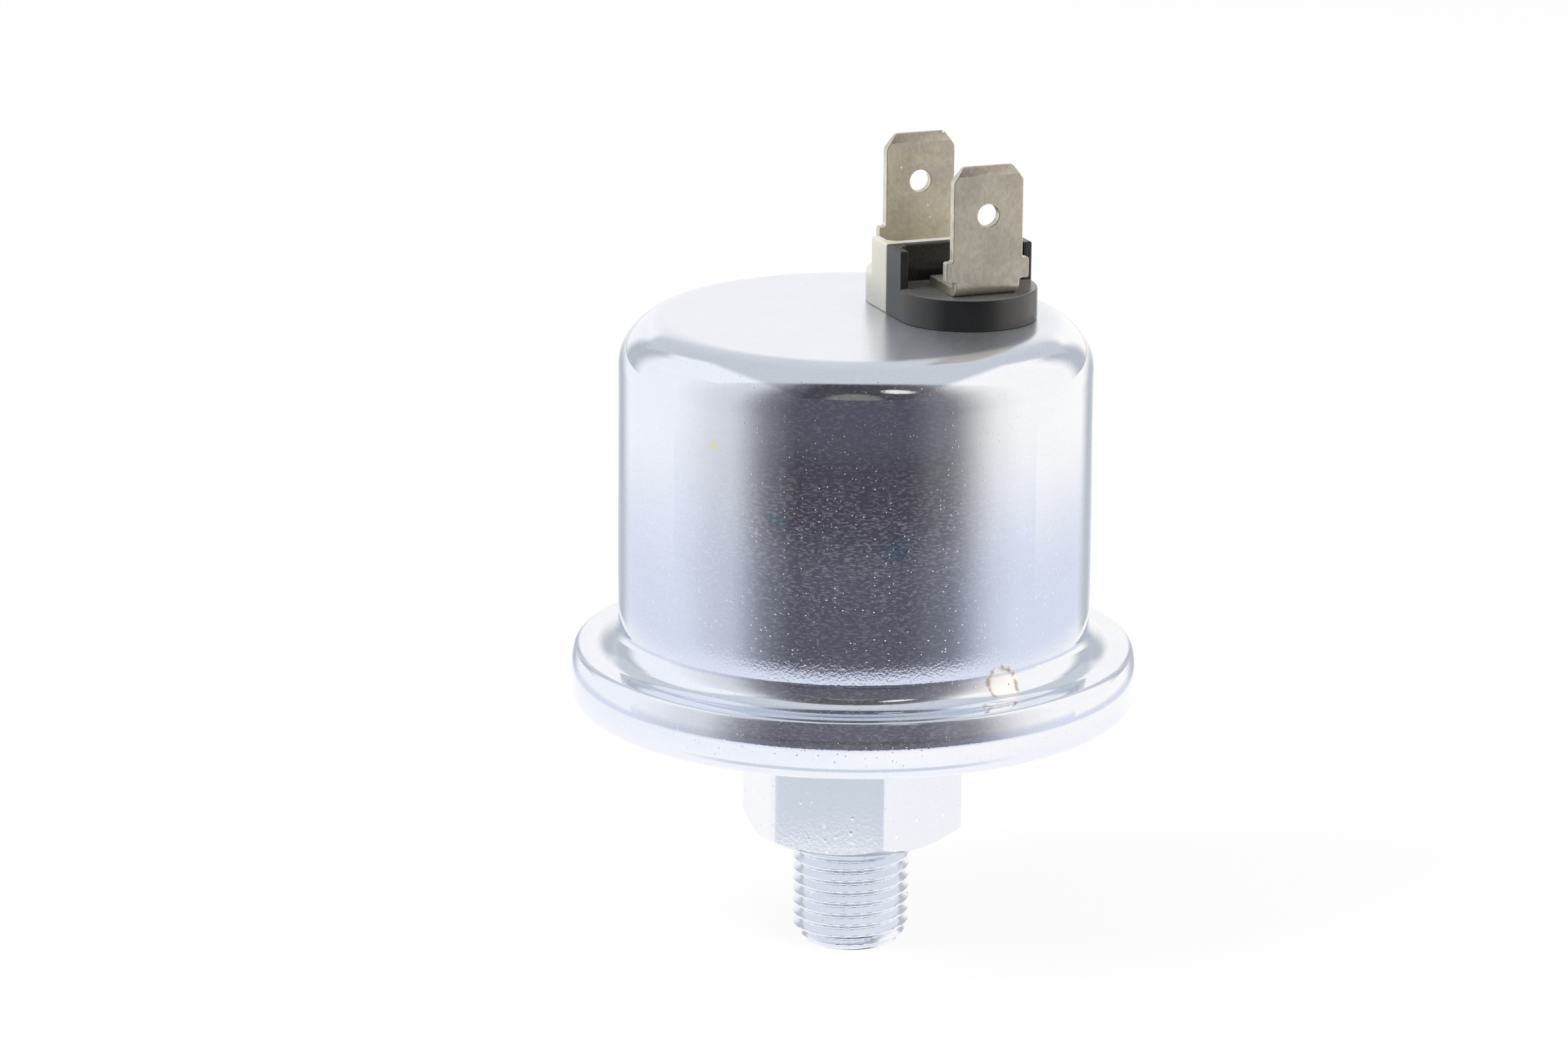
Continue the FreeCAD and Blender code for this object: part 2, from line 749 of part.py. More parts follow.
def contact_nut():
    bottom = contact_block_top + contact_tag_sheet
    nut = hexagon(contact_nut_across_flats, bottom, bottom + contact_nut_height, contact_x,
                  -contact_reach)
    return nut.cut(cylinder(contact_screw_d, bottom, bottom + contact_nut_height, contact_x,
                            -contact_reach))


def warning_contact():
    """Contact screw whose top the lever's button rests on while there is no pressure."""
    top = lever_bottom - contact_button - running_gap
    return cylinder(contact_screw_d, contact_block_top - contact_screw_depth, top, contact_x,
                    -contact_reach)


def wire_foot_x():
    return lever_end_x + wire_clearance


def gauge_wire():
    """Wire from the rear tag to the resistor's clip, with a small bow."""
    x, y = reach_x, terminal_rivet_reach
    top = tag_bottom + tag_sheet / 2 - tag_drop
    bottom = former_top + clip_sheet
    middle = (top + bottom) / 2
    return bent_wire([(x, y, top), (x, y, middle + wire_bow), (x + wire_bow, y, middle),
                      (x, y, middle - wire_bow), (x, y, bottom)], wire_d, wire_bend)


def warning_wire():
    """Wire from the front tag down past the lever to the contact's tag."""
    top = tag_bottom + tag_sheet / 2 - tag_drop
    bottom = contact_block_top + contact_tag_sheet
    elbow = top - wire_drop
    foot_x = wire_foot_x()
    return bent_wire([(reach_x, -terminal_rivet_reach, top), (reach_x, -terminal_rivet_reach, elbow),
                      (foot_x, -contact_reach, elbow - wire_slant), (foot_x, -contact_reach, bottom)],
                     wire_d, wire_bend)


# Terminals; side is -1 for the front one and 1 for the rear one
def away(side, distance):
    """Y at a distance from the plane where the two blocks meet."""
    return side * distance


def insulator(side):
    """Moulded block, round in front, with a low wall behind and beside the terminal."""
    inner = block_gap / 2
    half = block_width / 2

    def plan(z):
        return lambda x, out: Vector(terminal_x + x, away(side, out), z)

    base = face_of([
        (-half, inner), (half, inner), (half, block_straight),
        ((0, block_straight + half), (-half, block_straight))], plan(case_top))
    base = base.extrude(Vector(0, 0, block_height))
    pocket = half - block_arm
    back = inner + block_wall
    wall = face_of([
        (-half, inner), (half, inner), (half, block_arm_length), (pocket, block_arm_length),
        (pocket, back + block_inner_chamfer), (pocket - block_inner_chamfer, back),
        (-pocket + block_inner_chamfer, back), (-pocket, back + block_inner_chamfer),
        (-pocket, block_arm_length), (-half, block_arm_length)], plan(case_top + block_height))
    wall = wall.extrude(Vector(0, 0, block_wall_height))
    y = away(side, terminal_rivet_reach)
    collar = cylinder(collar_d, case_top - sheet, case_top, terminal_x, y)
    hole = cylinder(terminal_rivet_d, case_top - sheet, case_top + block_height, terminal_x, y)
    return base.fuse([wall, collar]).cut(hole).removeSplitter()


def blade_terminal(side):
    """Blade and foot, bent from one strip, with a hole, shoulders and a bevelled tip."""
    foot_z = case_top + block_height + blade_thickness / 2
    tip = case_top + block_height + blade_height
    shoulder_top = tip - blade_shoulder_below_tip
    shoulder_bottom = shoulder_top - blade_shoulder_height
    foot_end = blade_reach - blade_foot_length
    half_wide = blade_shoulder_width / 2

    def beside(y, z):
        return Vector(terminal_x - half_wide, away(side, y), z)

    bent = strip([(foot_end, foot_z), (blade_reach, foot_z), (blade_reach, tip)], blade_thickness,
                 blade_bend, beside).extrude(Vector(blade_shoulder_width, 0, 0))
    right = [(blade_neck_width / 2, foot_z - blade_thickness), (blade_neck_width / 2, shoulder_bottom),
             (half_wide, shoulder_bottom), (half_wide, shoulder_top), (blade_width / 2, shoulder_top),
             (blade_width / 2, tip - blade_tip_chamfer), (blade_tip_width / 2, tip)]
    outline = right + [(-x, z) for x, z in reversed(right)]
    far = away(side, blade_reach + blade_thickness)
    mask = face_of([(terminal_x + x, z) for x, z in outline], on_side(min(0, far)))
    shape = bent.common(mask.extrude(Vector(0, abs(far), 0)))
    flat_half = blade_thickness / 2
    tip_half = blade_tip_thickness / 2
    for face in (-1, 1):
        wedge = face_of([(blade_reach + face * tip_half, tip),
                         (blade_reach + face * flat_half, tip - blade_tip_bevel),
                         (blade_reach + face * (flat_half + blade_thickness), tip)], beside)
        shape = shape.cut(wedge.extrude(Vector(blade_shoulder_width, 0, 0)))
    eye_start = Vector(terminal_x, min(0, far), tip - blade_hole_below_tip)
    eye = Part.makeCylinder(blade_hole_d / 2, abs(far), eye_start, Vector(0, 1, 0))
    seat = cylinder(terminal_rivet_d, foot_z - blade_thickness, foot_top, terminal_x,
                    away(side, terminal_rivet_reach))
    return shape.cut([eye, seat])


def terminal_rivet(side):
    """Rivet through the foot, the block, the can and the tag, peened inside."""
    shank_r = terminal_rivet_d / 2
    head_r = terminal_rivet_head_d / 2
    low = tag_bottom - terminal_rivet_head
    high = foot_top + terminal_rivet_head
    round_r = terminal_rivet_round
    return turned([(0, low), (head_r, low), (head_r, tag_bottom), (shank_r, tag_bottom),
                   (shank_r, foot_top), (head_r, foot_top), (head_r, high - round_r),
                   arc((head_r - round_r, high - round_r), round_r, 45, 90), (0, high)],
                  terminal_x, away(side, terminal_rivet_reach))


def inner_washer_ring(side):
    return ring(inner_washer_d, terminal_rivet_d, washer_bottom, case_top - sheet, terminal_x,
                away(side, terminal_rivet_reach))


def inner_tag(side):
    """Solder tag under the washer, with a tongue that is bent down to the wire."""
    y = away(side, terminal_rivet_reach)
    level = tag_bottom + tag_sheet / 2
    tongue = strip([(terminal_x, level), (reach_x, level), (reach_x, level - tag_drop)], tag_sheet,
                   tag_sheet, on_side(y - tag_width / 2)).extrude(Vector(0, tag_width, 0))
    eye = cylinder(tag_eye_d, tag_bottom, washer_bottom, terminal_x, y)
    hole = cylinder(terminal_rivet_d, tag_bottom, washer_bottom, terminal_x, y)
    return eye.fuse(tongue).cut(hole).removeSplitter()


pieces = {
    "case_shell": case_shell(),
    "base_plate": base_plate(),
    "pressure_stud": pressure_stud(),
    "port_restrictor": port_restrictor(),
    "diaphragm_gasket": diaphragm_gasket(),
    "diaphragm": diaphragm(),
    "carrier_plate": carrier_plate(),
    "push_pin": push_pin(),
    "mechanism_bracket": mechanism_bracket(),
    "bracket_rivets": bracket_rivets(),
    "lever_pivot_pin": lever_pivot_pin(),
    "lever_arm": lever_arm(),
    "lever_contact": lever_contact(),
    "wiper_spring": wiper_spring(),
    "wiper_rivet": wiper_rivet(),
    "return_spring": return_spring(),
    "setting_screw": setting_screw(),
    "setting_nut": setting_nut(),
    "resistor_former": resistor_former(),
    "resistor_winding": resistor_winding(),
    "resistor_holder": resistor_holder(),
    "resistor_clip": resistor_clip(),
    "contact_block": contact_block(),
    "contact_tag": contact_tag(),
    "contact_nut": contact_nut(),
    "warning_contact": warning_contact(),
    "gauge_wire": gauge_wire(),
    "warning_wire": warning_wire(),
}
for label, side in (("front", -1), ("rear", 1)):
    pieces[label + "_insulator"] = insulator(side)
    pieces[label + "_blade_terminal"] = blade_terminal(side)
    pieces[label + "_terminal_rivet"] = terminal_rivet(side)
    pieces[label + "_inner_washer"] = inner_washer_ring(side)
    pieces[label + "_inner_tag"] = inner_tag(side)

for name, shape in pieces.items():
    solids = Part.makeCompound(shape.Solids) if len(shape.Solids) > 1 else shape.Solids[0]
    solids.exportStep("parts/" + name + ".step")
    span = solids.BoundBox
    print("%-22s %d solid(s) %s %9.2f mm3  x %.2f..%.2f y %.2f..%.2f z %.2f..%.2f" % (
        name, len(shape.Solids), "valid" if solids.isValid() else "NOT VALID", solids.Volume,
        span.XMin, span.XMax, span.YMin, span.YMax, span.ZMin, span.ZMax))
print("pieces:", len(pieces))
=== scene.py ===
# %% [markdown]
# # An oil pressure sensor
#
# This lesson dresses a packed model of an engine's oil pressure sensor: a zinc-plated can with a rolled
# flange, a hexagon with a fine thread under it, and two blade terminals in moulded blocks on top. The
# inner pieces keep their solids and get a finish. What the eye sees from outside is made again here,
# smooth and with its small edges, on the places that the frame gives.

import json
import math

import bmesh
import bpy
from mathutils import Matrix, Vector


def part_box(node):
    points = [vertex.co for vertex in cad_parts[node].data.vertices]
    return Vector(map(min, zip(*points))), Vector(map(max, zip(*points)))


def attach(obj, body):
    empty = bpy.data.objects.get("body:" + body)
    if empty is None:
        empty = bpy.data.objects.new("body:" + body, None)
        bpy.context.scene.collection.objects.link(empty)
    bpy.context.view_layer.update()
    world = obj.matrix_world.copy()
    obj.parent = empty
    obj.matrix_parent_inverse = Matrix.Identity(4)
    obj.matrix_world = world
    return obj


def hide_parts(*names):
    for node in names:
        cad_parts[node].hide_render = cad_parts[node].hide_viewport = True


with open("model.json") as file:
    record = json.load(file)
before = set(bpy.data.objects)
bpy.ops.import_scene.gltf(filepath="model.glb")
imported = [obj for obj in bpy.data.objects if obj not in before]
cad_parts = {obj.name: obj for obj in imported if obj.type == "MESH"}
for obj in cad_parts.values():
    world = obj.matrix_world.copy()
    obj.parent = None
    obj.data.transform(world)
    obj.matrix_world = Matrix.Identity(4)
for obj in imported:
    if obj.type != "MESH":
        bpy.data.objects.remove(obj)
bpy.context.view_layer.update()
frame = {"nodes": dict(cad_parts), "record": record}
MM = 0.001
print("pieces in the frame:", len(frame["nodes"]))

# %% [markdown]
# ## Sizes
#
# The frame gives the outer sizes. The few sizes that it can't give, such as the radius of a bend, are
# the ones that the sheet and the mouldings were made with, in millimetres.

# %% Sizes from the frame and the bends between them
case_low, case_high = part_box("case_shell")
stud_low, stud_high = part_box("pressure_stud")
plate_low, plate_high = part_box("base_plate")
flange_r = case_high.x
case_top = case_high.z
lip_bottom = case_low.z
sheet = 0.8 * MM
case_r = flange_r - 4.1 * MM
top_radius = 4.2 * MM
foot_radius = 2.0 * MM
flange_top = case_top - 28.6 * MM
flange_edge_radius = 0.5 * MM
flange_side_radius = 6.0 * MM
flange_lean = 20.0
flange_lower_radius = 1.4 * MM
lip_width = 2.75 * MM
print("flange %.2f mm across, can %.2f mm" % (2 * flange_r / MM, 2 * case_r / MM))

# %% [markdown]
# ## Helpers for shapes
#
# A turned or drawn piece is one outline carried round the axis, so one helper makes them all. Each
# closed mesh gets its normals worked out again, so that its faces point outwards.

# %% Helpers for shapes
def polar(radius, angle, z):
    return (radius * math.cos(angle), radius * math.sin(angle), z)


def arc(centre_r, centre_z, radius, start, end, steps=10):
    """Points of an arc in an outline, by angles in degrees."""
    points = []
    for k in range(steps + 1):
        a = math.radians(start + (end - start) * k / steps)
        points.append((centre_r + radius * math.cos(a), centre_z + radius * math.sin(a)))
    return points


def make_piece(name, verts, faces, sharp=math.radians(32)):
    """A closed mesh as an object, smooth but for edges sharper than an angle."""
    mesh = bpy.data.meshes.new(name)
    mesh.from_pydata([tuple(v) for v in verts], [], faces)
    bm = bmesh.new()
    bm.from_mesh(mesh)
    bmesh.ops.remove_doubles(bm, verts=bm.verts, dist=1e-7)
    bmesh.ops.recalc_face_normals(bm, faces=bm.faces)
    bm.to_mesh(mesh)
    bm.free()
    mesh.shade_smooth()
    mesh.set_sharp_from_angle(angle=sharp)
    piece = bpy.data.objects.new(name, mesh)
    bpy.context.scene.collection.objects.link(piece)
    return piece


def turned(name, outline, steps=256, x=0.0, y=0.0, ring=False):
    """An outline of (radius, height) points carried round a vertical axis."""
    verts, rows, faces = [], [], []
    for r, z in outline:
        if r < 1e-9:
            rows.append([len(verts)] * steps)
            verts.append((x, y, z))
            continue
        rows.append(list(range(len(verts), len(verts) + steps)))
        for k in range(steps):
            px, py, pz = polar(r, 2 * math.pi * k / steps, z)
            verts.append((x + px, y + py, pz))
    following = rows[1:] + ([rows[0]] if ring else [])
    for low, high in zip(rows, following):
        for k in range(steps):
            j = (k + 1) % steps
            corners = []
            for corner in (low[k], low[j], high[j], high[k]):
                if corner not in corners:
                    corners.append(corner)
            if len(corners) > 2:
                faces.append(corners)
    return make_piece(name, verts, faces)


def stacked_rings(name, angles, rings):
    """Rings of (radius, height) given for each angle, joined one to the next into a closed ring."""
    count = len(angles)
    verts, faces = [], []
    for ring_at in rings:
        for a in angles:
            r, z = ring_at(a)
            verts.append(polar(r, a, z))
    for row in range(len(rings)):
        after = (row + 1) % len(rings)
        for k in range(count):
            j = (k + 1) % count
            faces.append((row * count + k, row * count + j, after * count + j, after * count + k))
    return make_piece(name, verts, faces)


print("a quarter turn is drawn with", len(arc(0, 0, 1, 0, 90)), "points")

# %% [markdown]
# ## The can
#
# The can is one sheet, drawn into a cup and rolled round the plates at its rim. Its outline goes over
# the outside, round the rolled lip and back along the inside, so the sheet keeps its thickness. The
# soft radii are what a drawn can shows best: they catch long highlights. A point held close to each
# end of a bend keeps the flat sheet beside it flat in its shading.

# %% The can
top_hold = 0.15 * MM
wall_hold = 0.12 * MM


def can_outline():
    lean = math.radians(flange_lean)
    reach = flange_side_radius - flange_edge_radius
    side = (flange_r - flange_side_radius, flange_top - flange_edge_radius - reach * math.sin(lean))
    edge = (side[0] + reach * math.cos(lean), flange_top - flange_edge_radius)
    top_centre = (case_r - top_radius, case_top - top_radius)
    foot_centre = (case_r + foot_radius, flange_top + foot_radius)
    lower = (flange_r - flange_lower_radius, lip_bottom + flange_lower_radius)
    lip_r = flange_r - lip_width
    inner_side = flange_side_radius - sheet
    inner_lean = math.degrees(math.asin((flange_top - sheet - side[1]) / inner_side))
    outline = [(0, case_top), (top_centre[0] * 0.5, case_top)]
    outline += [(top_centre[0] - top_hold, case_top)]
    outline += arc(*top_centre, top_radius, 90, 0, 32)
    wall_top = case_top - top_radius
    heights = [wall_top - wall_hold]
    heights += [wall_top - k * (wall_top - foot_centre[1]) / 8 for k in range(1, 8)]
    heights += [foot_centre[1] + wall_hold]
    outline += [(case_r, z) for z in heights]
    outline += arc(*foot_centre, foot_radius, 180, 270, 24)
    outline += arc(*edge, flange_edge_radius, 90, flange_lean, 8)
    outline += arc(*side, flange_side_radius, flange_lean, 0, 12)[1:]
    outline += arc(*lower, flange_lower_radius, 0, -90, 12)
    outline += arc(lip_r, lip_bottom + sheet / 2, sheet / 2, -90, -270, 8)
    outline += arc(*lower, flange_lower_radius - sheet, -90, 0, 6)
    outline += arc(*side, inner_side, 0, inner_lean, 4)
    outline += arc(*foot_centre, foot_radius + sheet, 270, 180, 8)
    outline += arc(*top_centre, top_radius - sheet, 0, 90, 10)
    outline += [(0, case_top - sheet)]
    return outline


can = turned("can", can_outline())
print("can:", len(can.data.vertices), "points")

# %% [markdown]
# ## The base plate
#
# Only the dish of this plate shows, from below, inside the rolled lip. It is pressed from thicker sheet,
# so its bends are soft. Its outline goes round the metal alone and leaves a hole for the stud.

# %% The base plate
spigot_r = 5.0 * MM
plate_thickness = 1.5 * MM


def plate_outline():
    plate_r = plate_high.x
    edge = 0.7 * MM
    slope = 1.6 * MM
    dish_r = 14.6 * MM
    soft = 0.1 * MM
    bottom = plate_low.z
    rim = plate_high.z - plate_thickness
    outline = [(spigot_r, bottom), (dish_r - slope - 3 * soft, bottom), (dish_r - slope, bottom + soft),
               (dish_r - soft, rim - soft), (dish_r + 2 * soft, rim)]
    outline += arc(plate_r - edge, rim + edge, edge, -90, 0, 5)
    outline += [(plate_r, plate_high.z), (dish_r - edge, plate_high.z),
                (dish_r - edge - slope, bottom + plate_thickness),
                (spigot_r, bottom + plate_thickness)]
    return outline


dish = turned("dished_plate", plate_outline(), 192, ring=True)
print("base plate: %.1f mm across" % (2 * plate_high.x / MM))

# %% [markdown]
# ## The stud with its hexagon
#
# The stud is turned from hexagon bar: a bored shank, a relief groove under the head and a thread rolled
# on the shank. Its surface is a stack of rings, and only the rings of the hexagon know about corners.
# The rings lie close together on the shank, so that the thread can be cut into them afterwards.

# %% The stud's surface
hex_top = plate_low.z
hex_turn = math.radians(-6.6)
hex_half = 8.5 * MM
hex_corner_limit = 9.66 * MM
hex_chamfer_r = 8.1 * MM
hex_chamfer_slope = math.tan(math.radians(30))
shank_r = 5.0 * MM
shank_end_r = 4.1 * MM
shank_bottom = stud_low.z
shank_chamfer = 1.2 * MM
relief_r = 4.45 * MM
relief_top = -0.25 * MM
relief_bottom = -1.0 * MM
entry_slope = 1.4
mouth_r = 2.0 * MM
mouth_top = shank_bottom + 6.0 * MM
port_r = 1.5 * MM
peened_r = 6.2 * MM
pitch = 1.0 * MM
rows_per_pitch = 28


def hexagon_radius(a):
    third = math.pi / 3
    off = (a - hex_turn + third / 2) % third - third / 2
    return min(hex_half / math.cos(off), hex_corner_limit)


def hexagon_side_bottom(a):
    r = hexagon_radius(a)
    return (r, (r - hex_chamfer_r) * hex_chamfer_slope)


def plain(r, z):
    return lambda a: (r, z)


def stud_rings():
    spigot_top = hex_top + plate_thickness
    soft = 0.15 * MM
    rings = [plain(mouth_r, shank_bottom), plain(mouth_r, mouth_top), plain(port_r, mouth_top),
             plain(port_r, stud_high.z), plain(peened_r - 2 * soft, stud_high.z),
             plain(peened_r, stud_high.z - 2 * soft), plain(peened_r, spigot_top),
             plain(spigot_r, spigot_top), plain(spigot_r, hex_top),
             lambda a: (hexagon_radius(a), hex_top), hexagon_side_bottom,
             plain(hex_chamfer_r, 0), plain(shank_r + soft, 0), plain(relief_r + soft, relief_top),
             plain(relief_r, relief_top - soft), plain(relief_r, relief_bottom)]
    rows = round((relief_bottom - shank_bottom) / pitch * rows_per_pitch)
    for k in range(1, rows):
        z = relief_bottom + (shank_bottom - relief_bottom) * k / rows
        cone = shank_end_r + (z - shank_bottom) / shank_chamfer * (shank_r - shank_end_r)
        entry = relief_r + (relief_bottom - z) * entry_slope
        rings.append(plain(min(shank_r, cone, entry), z))
    rings.append(plain(shank_end_r, shank_bottom))
    return rings


def hexagon_angles():
    """Angles round the axis, even on the flats and closer at the corners."""
    offsets = [-30, -29.5, -28.8, -27.5] + [-25 + 2.5 * k for k in range(21)] + [27.5, 28.8, 29.5]
    return [hex_turn + math.radians(60 * side + offset) for side in range(6) for offset in offsets]


stud = stacked_rings("threaded_stud", hexagon_angles(), stud_rings())
print("stud:", len(stud.data.vertices), "points before the thread")

# %% [markdown]
# ### Short words for node trees
#
# The thread, the finishes and the studio are all trees of nodes. A tree is long when each node and each
# link takes a line of its own, so a small class gives short words for them: sums, ramps from one range
# to another, and sums on vectors.

# %% Short words for node trees
class NodeTree:
    """Short words for placing and joining nodes in a tree."""

    def __init__(self, tree):
        self.tree = tree

    def node(self, kind, **settings):
        made = self.tree.nodes.new(kind)
        for key, value in settings.items():
            setattr(made, key, value)
        return made

    def link(self, source, target):
        self.tree.links.new(source, target)

    def put(self, socket, value):
        if hasattr(value, "is_output"):
            self.link(value, socket)
        else:
            socket.default_value = value

    def put_colour(self, socket, value):
        self.put(socket, (*value, 1.0) if isinstance(value, tuple) else value)

    def math(self, operation, *values, clamp=False):
        made = self.node("ShaderNodeMath", operation=operation, use_clamp=clamp)
        for socket, value in zip(made.inputs, values):
            self.put(socket, value)
        return made.outputs[0]

    def chain(self, operation, values):
        total = values[0]
        for value in values[1:]:
            total = self.math(operation, total, value)
        return total

    def add(self, *values):
        return self.chain("ADD", values)

    def times(self, *values):
        return self.chain("MULTIPLY", values)

    def distance(self, x, y):
        return self.math("SQRT", self.add(self.math("POWER", x, 2.0), self.math("POWER", y, 2.0)))

    def vector(self, operation, *values):
        """A sum on vectors. Lengths and products come out as Value, the others as Vector."""
        made = self.node("ShaderNodeVectorMath", operation=operation)
        for socket, value in zip(made.inputs, values):
            self.put(socket, value)
        return made.outputs

    def scaled(self, vector, scale):
        made = self.node("ShaderNodeVectorMath", operation="SCALE")
        self.link(vector, made.inputs[0])
        self.put(made.inputs["Scale"], scale)
        return made.outputs[0]

    def split(self, vector):
        made = self.node("ShaderNodeSeparateXYZ")
        self.link(vector, made.inputs[0])
        return made.outputs

    def ramp(self, value, low, high, to_low=0.0, to_high=1.0, smooth=False):
        made = self.node("ShaderNodeMapRange")
        made.interpolation_type = "SMOOTHSTEP" if smooth else "LINEAR"
        for index, part in enumerate((value, low, high, to_low, to_high)):
            self.put(made.inputs[index], part)
        return made.outputs[0]


print("short words:", ", ".join(word for word in vars(NodeTree) if not word.startswith("_")))

# %% [markdown]
# ### The thread
#
# A thread follows a rule: along the shank and round it, the surface rises and falls once in each pitch.
# Geometry Nodes can say that rule with a few sums on each point's height and angle, so the pitch and
# the depth stay inputs that can be changed. The groove is cut a little at a time at both ends of the
# shank, so it fades out at the relief under the head and at the chamfer below. The bore and the
# port lie nearer the axis than the inner radius and stay as they are.

# %% A thread cutter in Geometry Nodes
thread_depth = 0.61 * MM
root, crest = 0.10, 0.88
run_in = 0.8 * MM
run_out = 0.5 * MM
inner_radius = 0.7 * relief_r


def thread_cutter():
    """A tree that sinks the points of a shank into a groove, and sets its finish."""
    tree = bpy.data.node_groups.new("thread cutter", "GeometryNodeTree")
    face = tree.interface
    face.new_socket("Geometry", in_out="INPUT", socket_type="NodeSocketGeometry")
    for label, value in (("Pitch", pitch), ("Depth", thread_depth), ("Top", relief_bottom),
                         ("Bottom", shank_bottom), ("Inner radius", inner_radius)):
        face.new_socket(label, in_out="INPUT", socket_type="NodeSocketFloat").default_value = value
    face.new_socket("Finish", in_out="INPUT", socket_type="NodeSocketMaterial")
    face.new_socket("Geometry", in_out="OUTPUT", socket_type="NodeSocketGeometry")
    t = NodeTree(tree)
    given = t.node("NodeGroupInput")
    x, y, z = t.split(t.node("GeometryNodeInputPosition").outputs[0])
    flat = t.node("ShaderNodeCombineXYZ")
    t.link(x, flat.inputs[0])
    t.link(y, flat.inputs[1])
    radius = t.vector("LENGTH", flat.outputs[0])["Value"]
    outward = t.vector("NORMALIZE", flat.outputs[0])["Vector"]
    turns = t.math("DIVIDE", t.math("ARCTAN2", y, x), 2 * math.pi)
    along = t.math("DIVIDE", z, given.outputs["Pitch"])
    phase = t.math("FRACT", t.math("SUBTRACT", along, turns))
    ridge = t.math("ABSOLUTE", t.math("SUBTRACT", t.times(phase, 2.0), 1.0))
    groove = t.ramp(ridge, root, crest, 1.0, 0.0)
    below_top = t.math("SUBTRACT", given.outputs["Top"], z)
    fade_in = t.ramp(below_top, 0.0, run_in, smooth=True)
    fade_out = t.ramp(t.math("SUBTRACT", z, given.outputs["Bottom"]), 0.0, run_out)
    outside = t.math("GREATER_THAN", radius, given.outputs["Inner radius"])
    sink = t.times(groove, given.outputs["Depth"], fade_in, fade_out, outside)
    move = t.scaled(outward, t.times(sink, -1.0))
    place = t.node("GeometryNodeSetPosition")
    t.link(given.outputs["Geometry"], place.inputs["Geometry"])
    t.link(move, place.inputs["Offset"])
    realize = t.node("GeometryNodeRealizeInstances")
    t.link(place.outputs[0], realize.inputs[0])
    finish = t.node("GeometryNodeSetMaterial")
    t.link(realize.outputs[0], finish.inputs["Geometry"])
    t.link(given.outputs["Finish"], finish.inputs["Material"])
    out = t.node("NodeGroupOutput")
    t.link(finish.outputs[0], out.inputs[0])
    return tree


def apply_nodes(piece, tree, **values):
    """Runs a Geometry Nodes tree on a piece with named inputs, and keeps the result as its mesh."""
    modifier = piece.modifiers.new(tree.name, "NODES")
    modifier.node_group = tree
    identifiers = {item.name: item.identifier for item in tree.interface.items_tree
                   if item.item_type == "SOCKET" and item.in_out == "INPUT"}
    for label, value in values.items():
        modifier[identifiers[label.replace("_", " ")]] = value
    bpy.context.view_layer.update()
    graph = bpy.context.evaluated_depsgraph_get()
    baked = bpy.data.meshes.new_from_object(piece.evaluated_get(graph))
    piece.modifiers.remove(modifier)
    piece.data = baked


print("thread: pitch %.2f mm, depth %.2f mm" % (pitch / MM, thread_depth / MM))

# %% [markdown]
# ## The moulded blocks
#
# Both blocks came from one mould and stand back to back. The plan is a flat side, two short straight
# sides and a half circle. Behind the blade a low wall rises along the flat side and turns a little way
# round the corners. The plan is split where the wall starts, so that the wall is part of the same mesh.

# %% The moulded blocks
block_straight = 3.3 * MM
block_arm = 0.75 * MM
block_wall = 0.8 * MM
block_chamfer = 0.6 * MM
block_height = 2.7 * MM
block_gap = 0.05 * MM
block_edge = 0.16 * MM


def block(name, node, side):
    """A moulded block over the place of a node. The side is -1 in front and 1 behind."""
    low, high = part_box(node)
    middle = (low.x + high.x) / 2
    half = (high.x - low.x) / 2
    shelf = case_top + block_height
    pocket = half - block_arm
    back = block_gap + block_wall
    corner = [(-half, block_gap), (half, block_gap)]
    front = [(half * math.cos(a), block_straight + half * math.sin(a))
             for a in [math.pi * k / 48 for k in range(49)]]
    inner = [(pocket, block_straight), (pocket, back + block_chamfer), (pocket - block_chamfer, back),
             (block_chamfer - pocket, back), (-pocket, back + block_chamfer), (-pocket, block_straight)]

    def place(points, z):
        return [(middle + px, side * out, z) for px, out in points]

    outer = corner + front
    verts = place(outer, case_top) + place(outer, shelf) + place(inner, shelf)
    count = len(outer)
    top_points = corner + [front[0]] + inner + [front[-1]]
    wall_start = len(verts)
    verts += place(top_points, high.z)
    faces = [list(range(count))]
    for k in range(count):
        j = (k + 1) % count
        faces.append([k, j, count + j, count + k])
    shelf_outer = [count + 2 + k for k in range(len(front))]
    shelf_inner = [2 * count + k for k in range(len(inner))]
    faces.append(shelf_outer + shelf_inner[::-1])
    foot_of_wall = [count, count + 1, shelf_outer[0]] + shelf_inner + [shelf_outer[-1]]
    for k in range(len(top_points)):
        j = (k + 1) % len(top_points)
        faces.append([foot_of_wall[k], foot_of_wall[j], wall_start + j, wall_start + k])
    faces.append([wall_start + k for k in range(len(top_points))])
    piece = make_piece(name, verts, faces)
    bevel = piece.modifiers.new("soft edges", "BEVEL")
    bevel.width = block_edge
    bevel.segments = 3
    bevel.limit_method = "ANGLE"
    bevel.angle_limit = math.radians(40)
    bevel.harden_normals = True
    return piece


front_block = block("front_block", "front_insulator", -1)
rear_block = block("rear_block", "rear_insulator", 1)
print("blocks: %.1f mm apart, ledge %.1f mm above the can" % (2 * block_gap / MM, block_height / MM))

# %% [markdown]
# ## The blades
#
# A blade is punched from strip and bent. A flat outline with its hole is the easy part, because a 2D
# curve fills it, gives it thickness and rounds the punched edges. The flat blank is then cut into rows
# where it bends and carried round the bend, as the press does it.

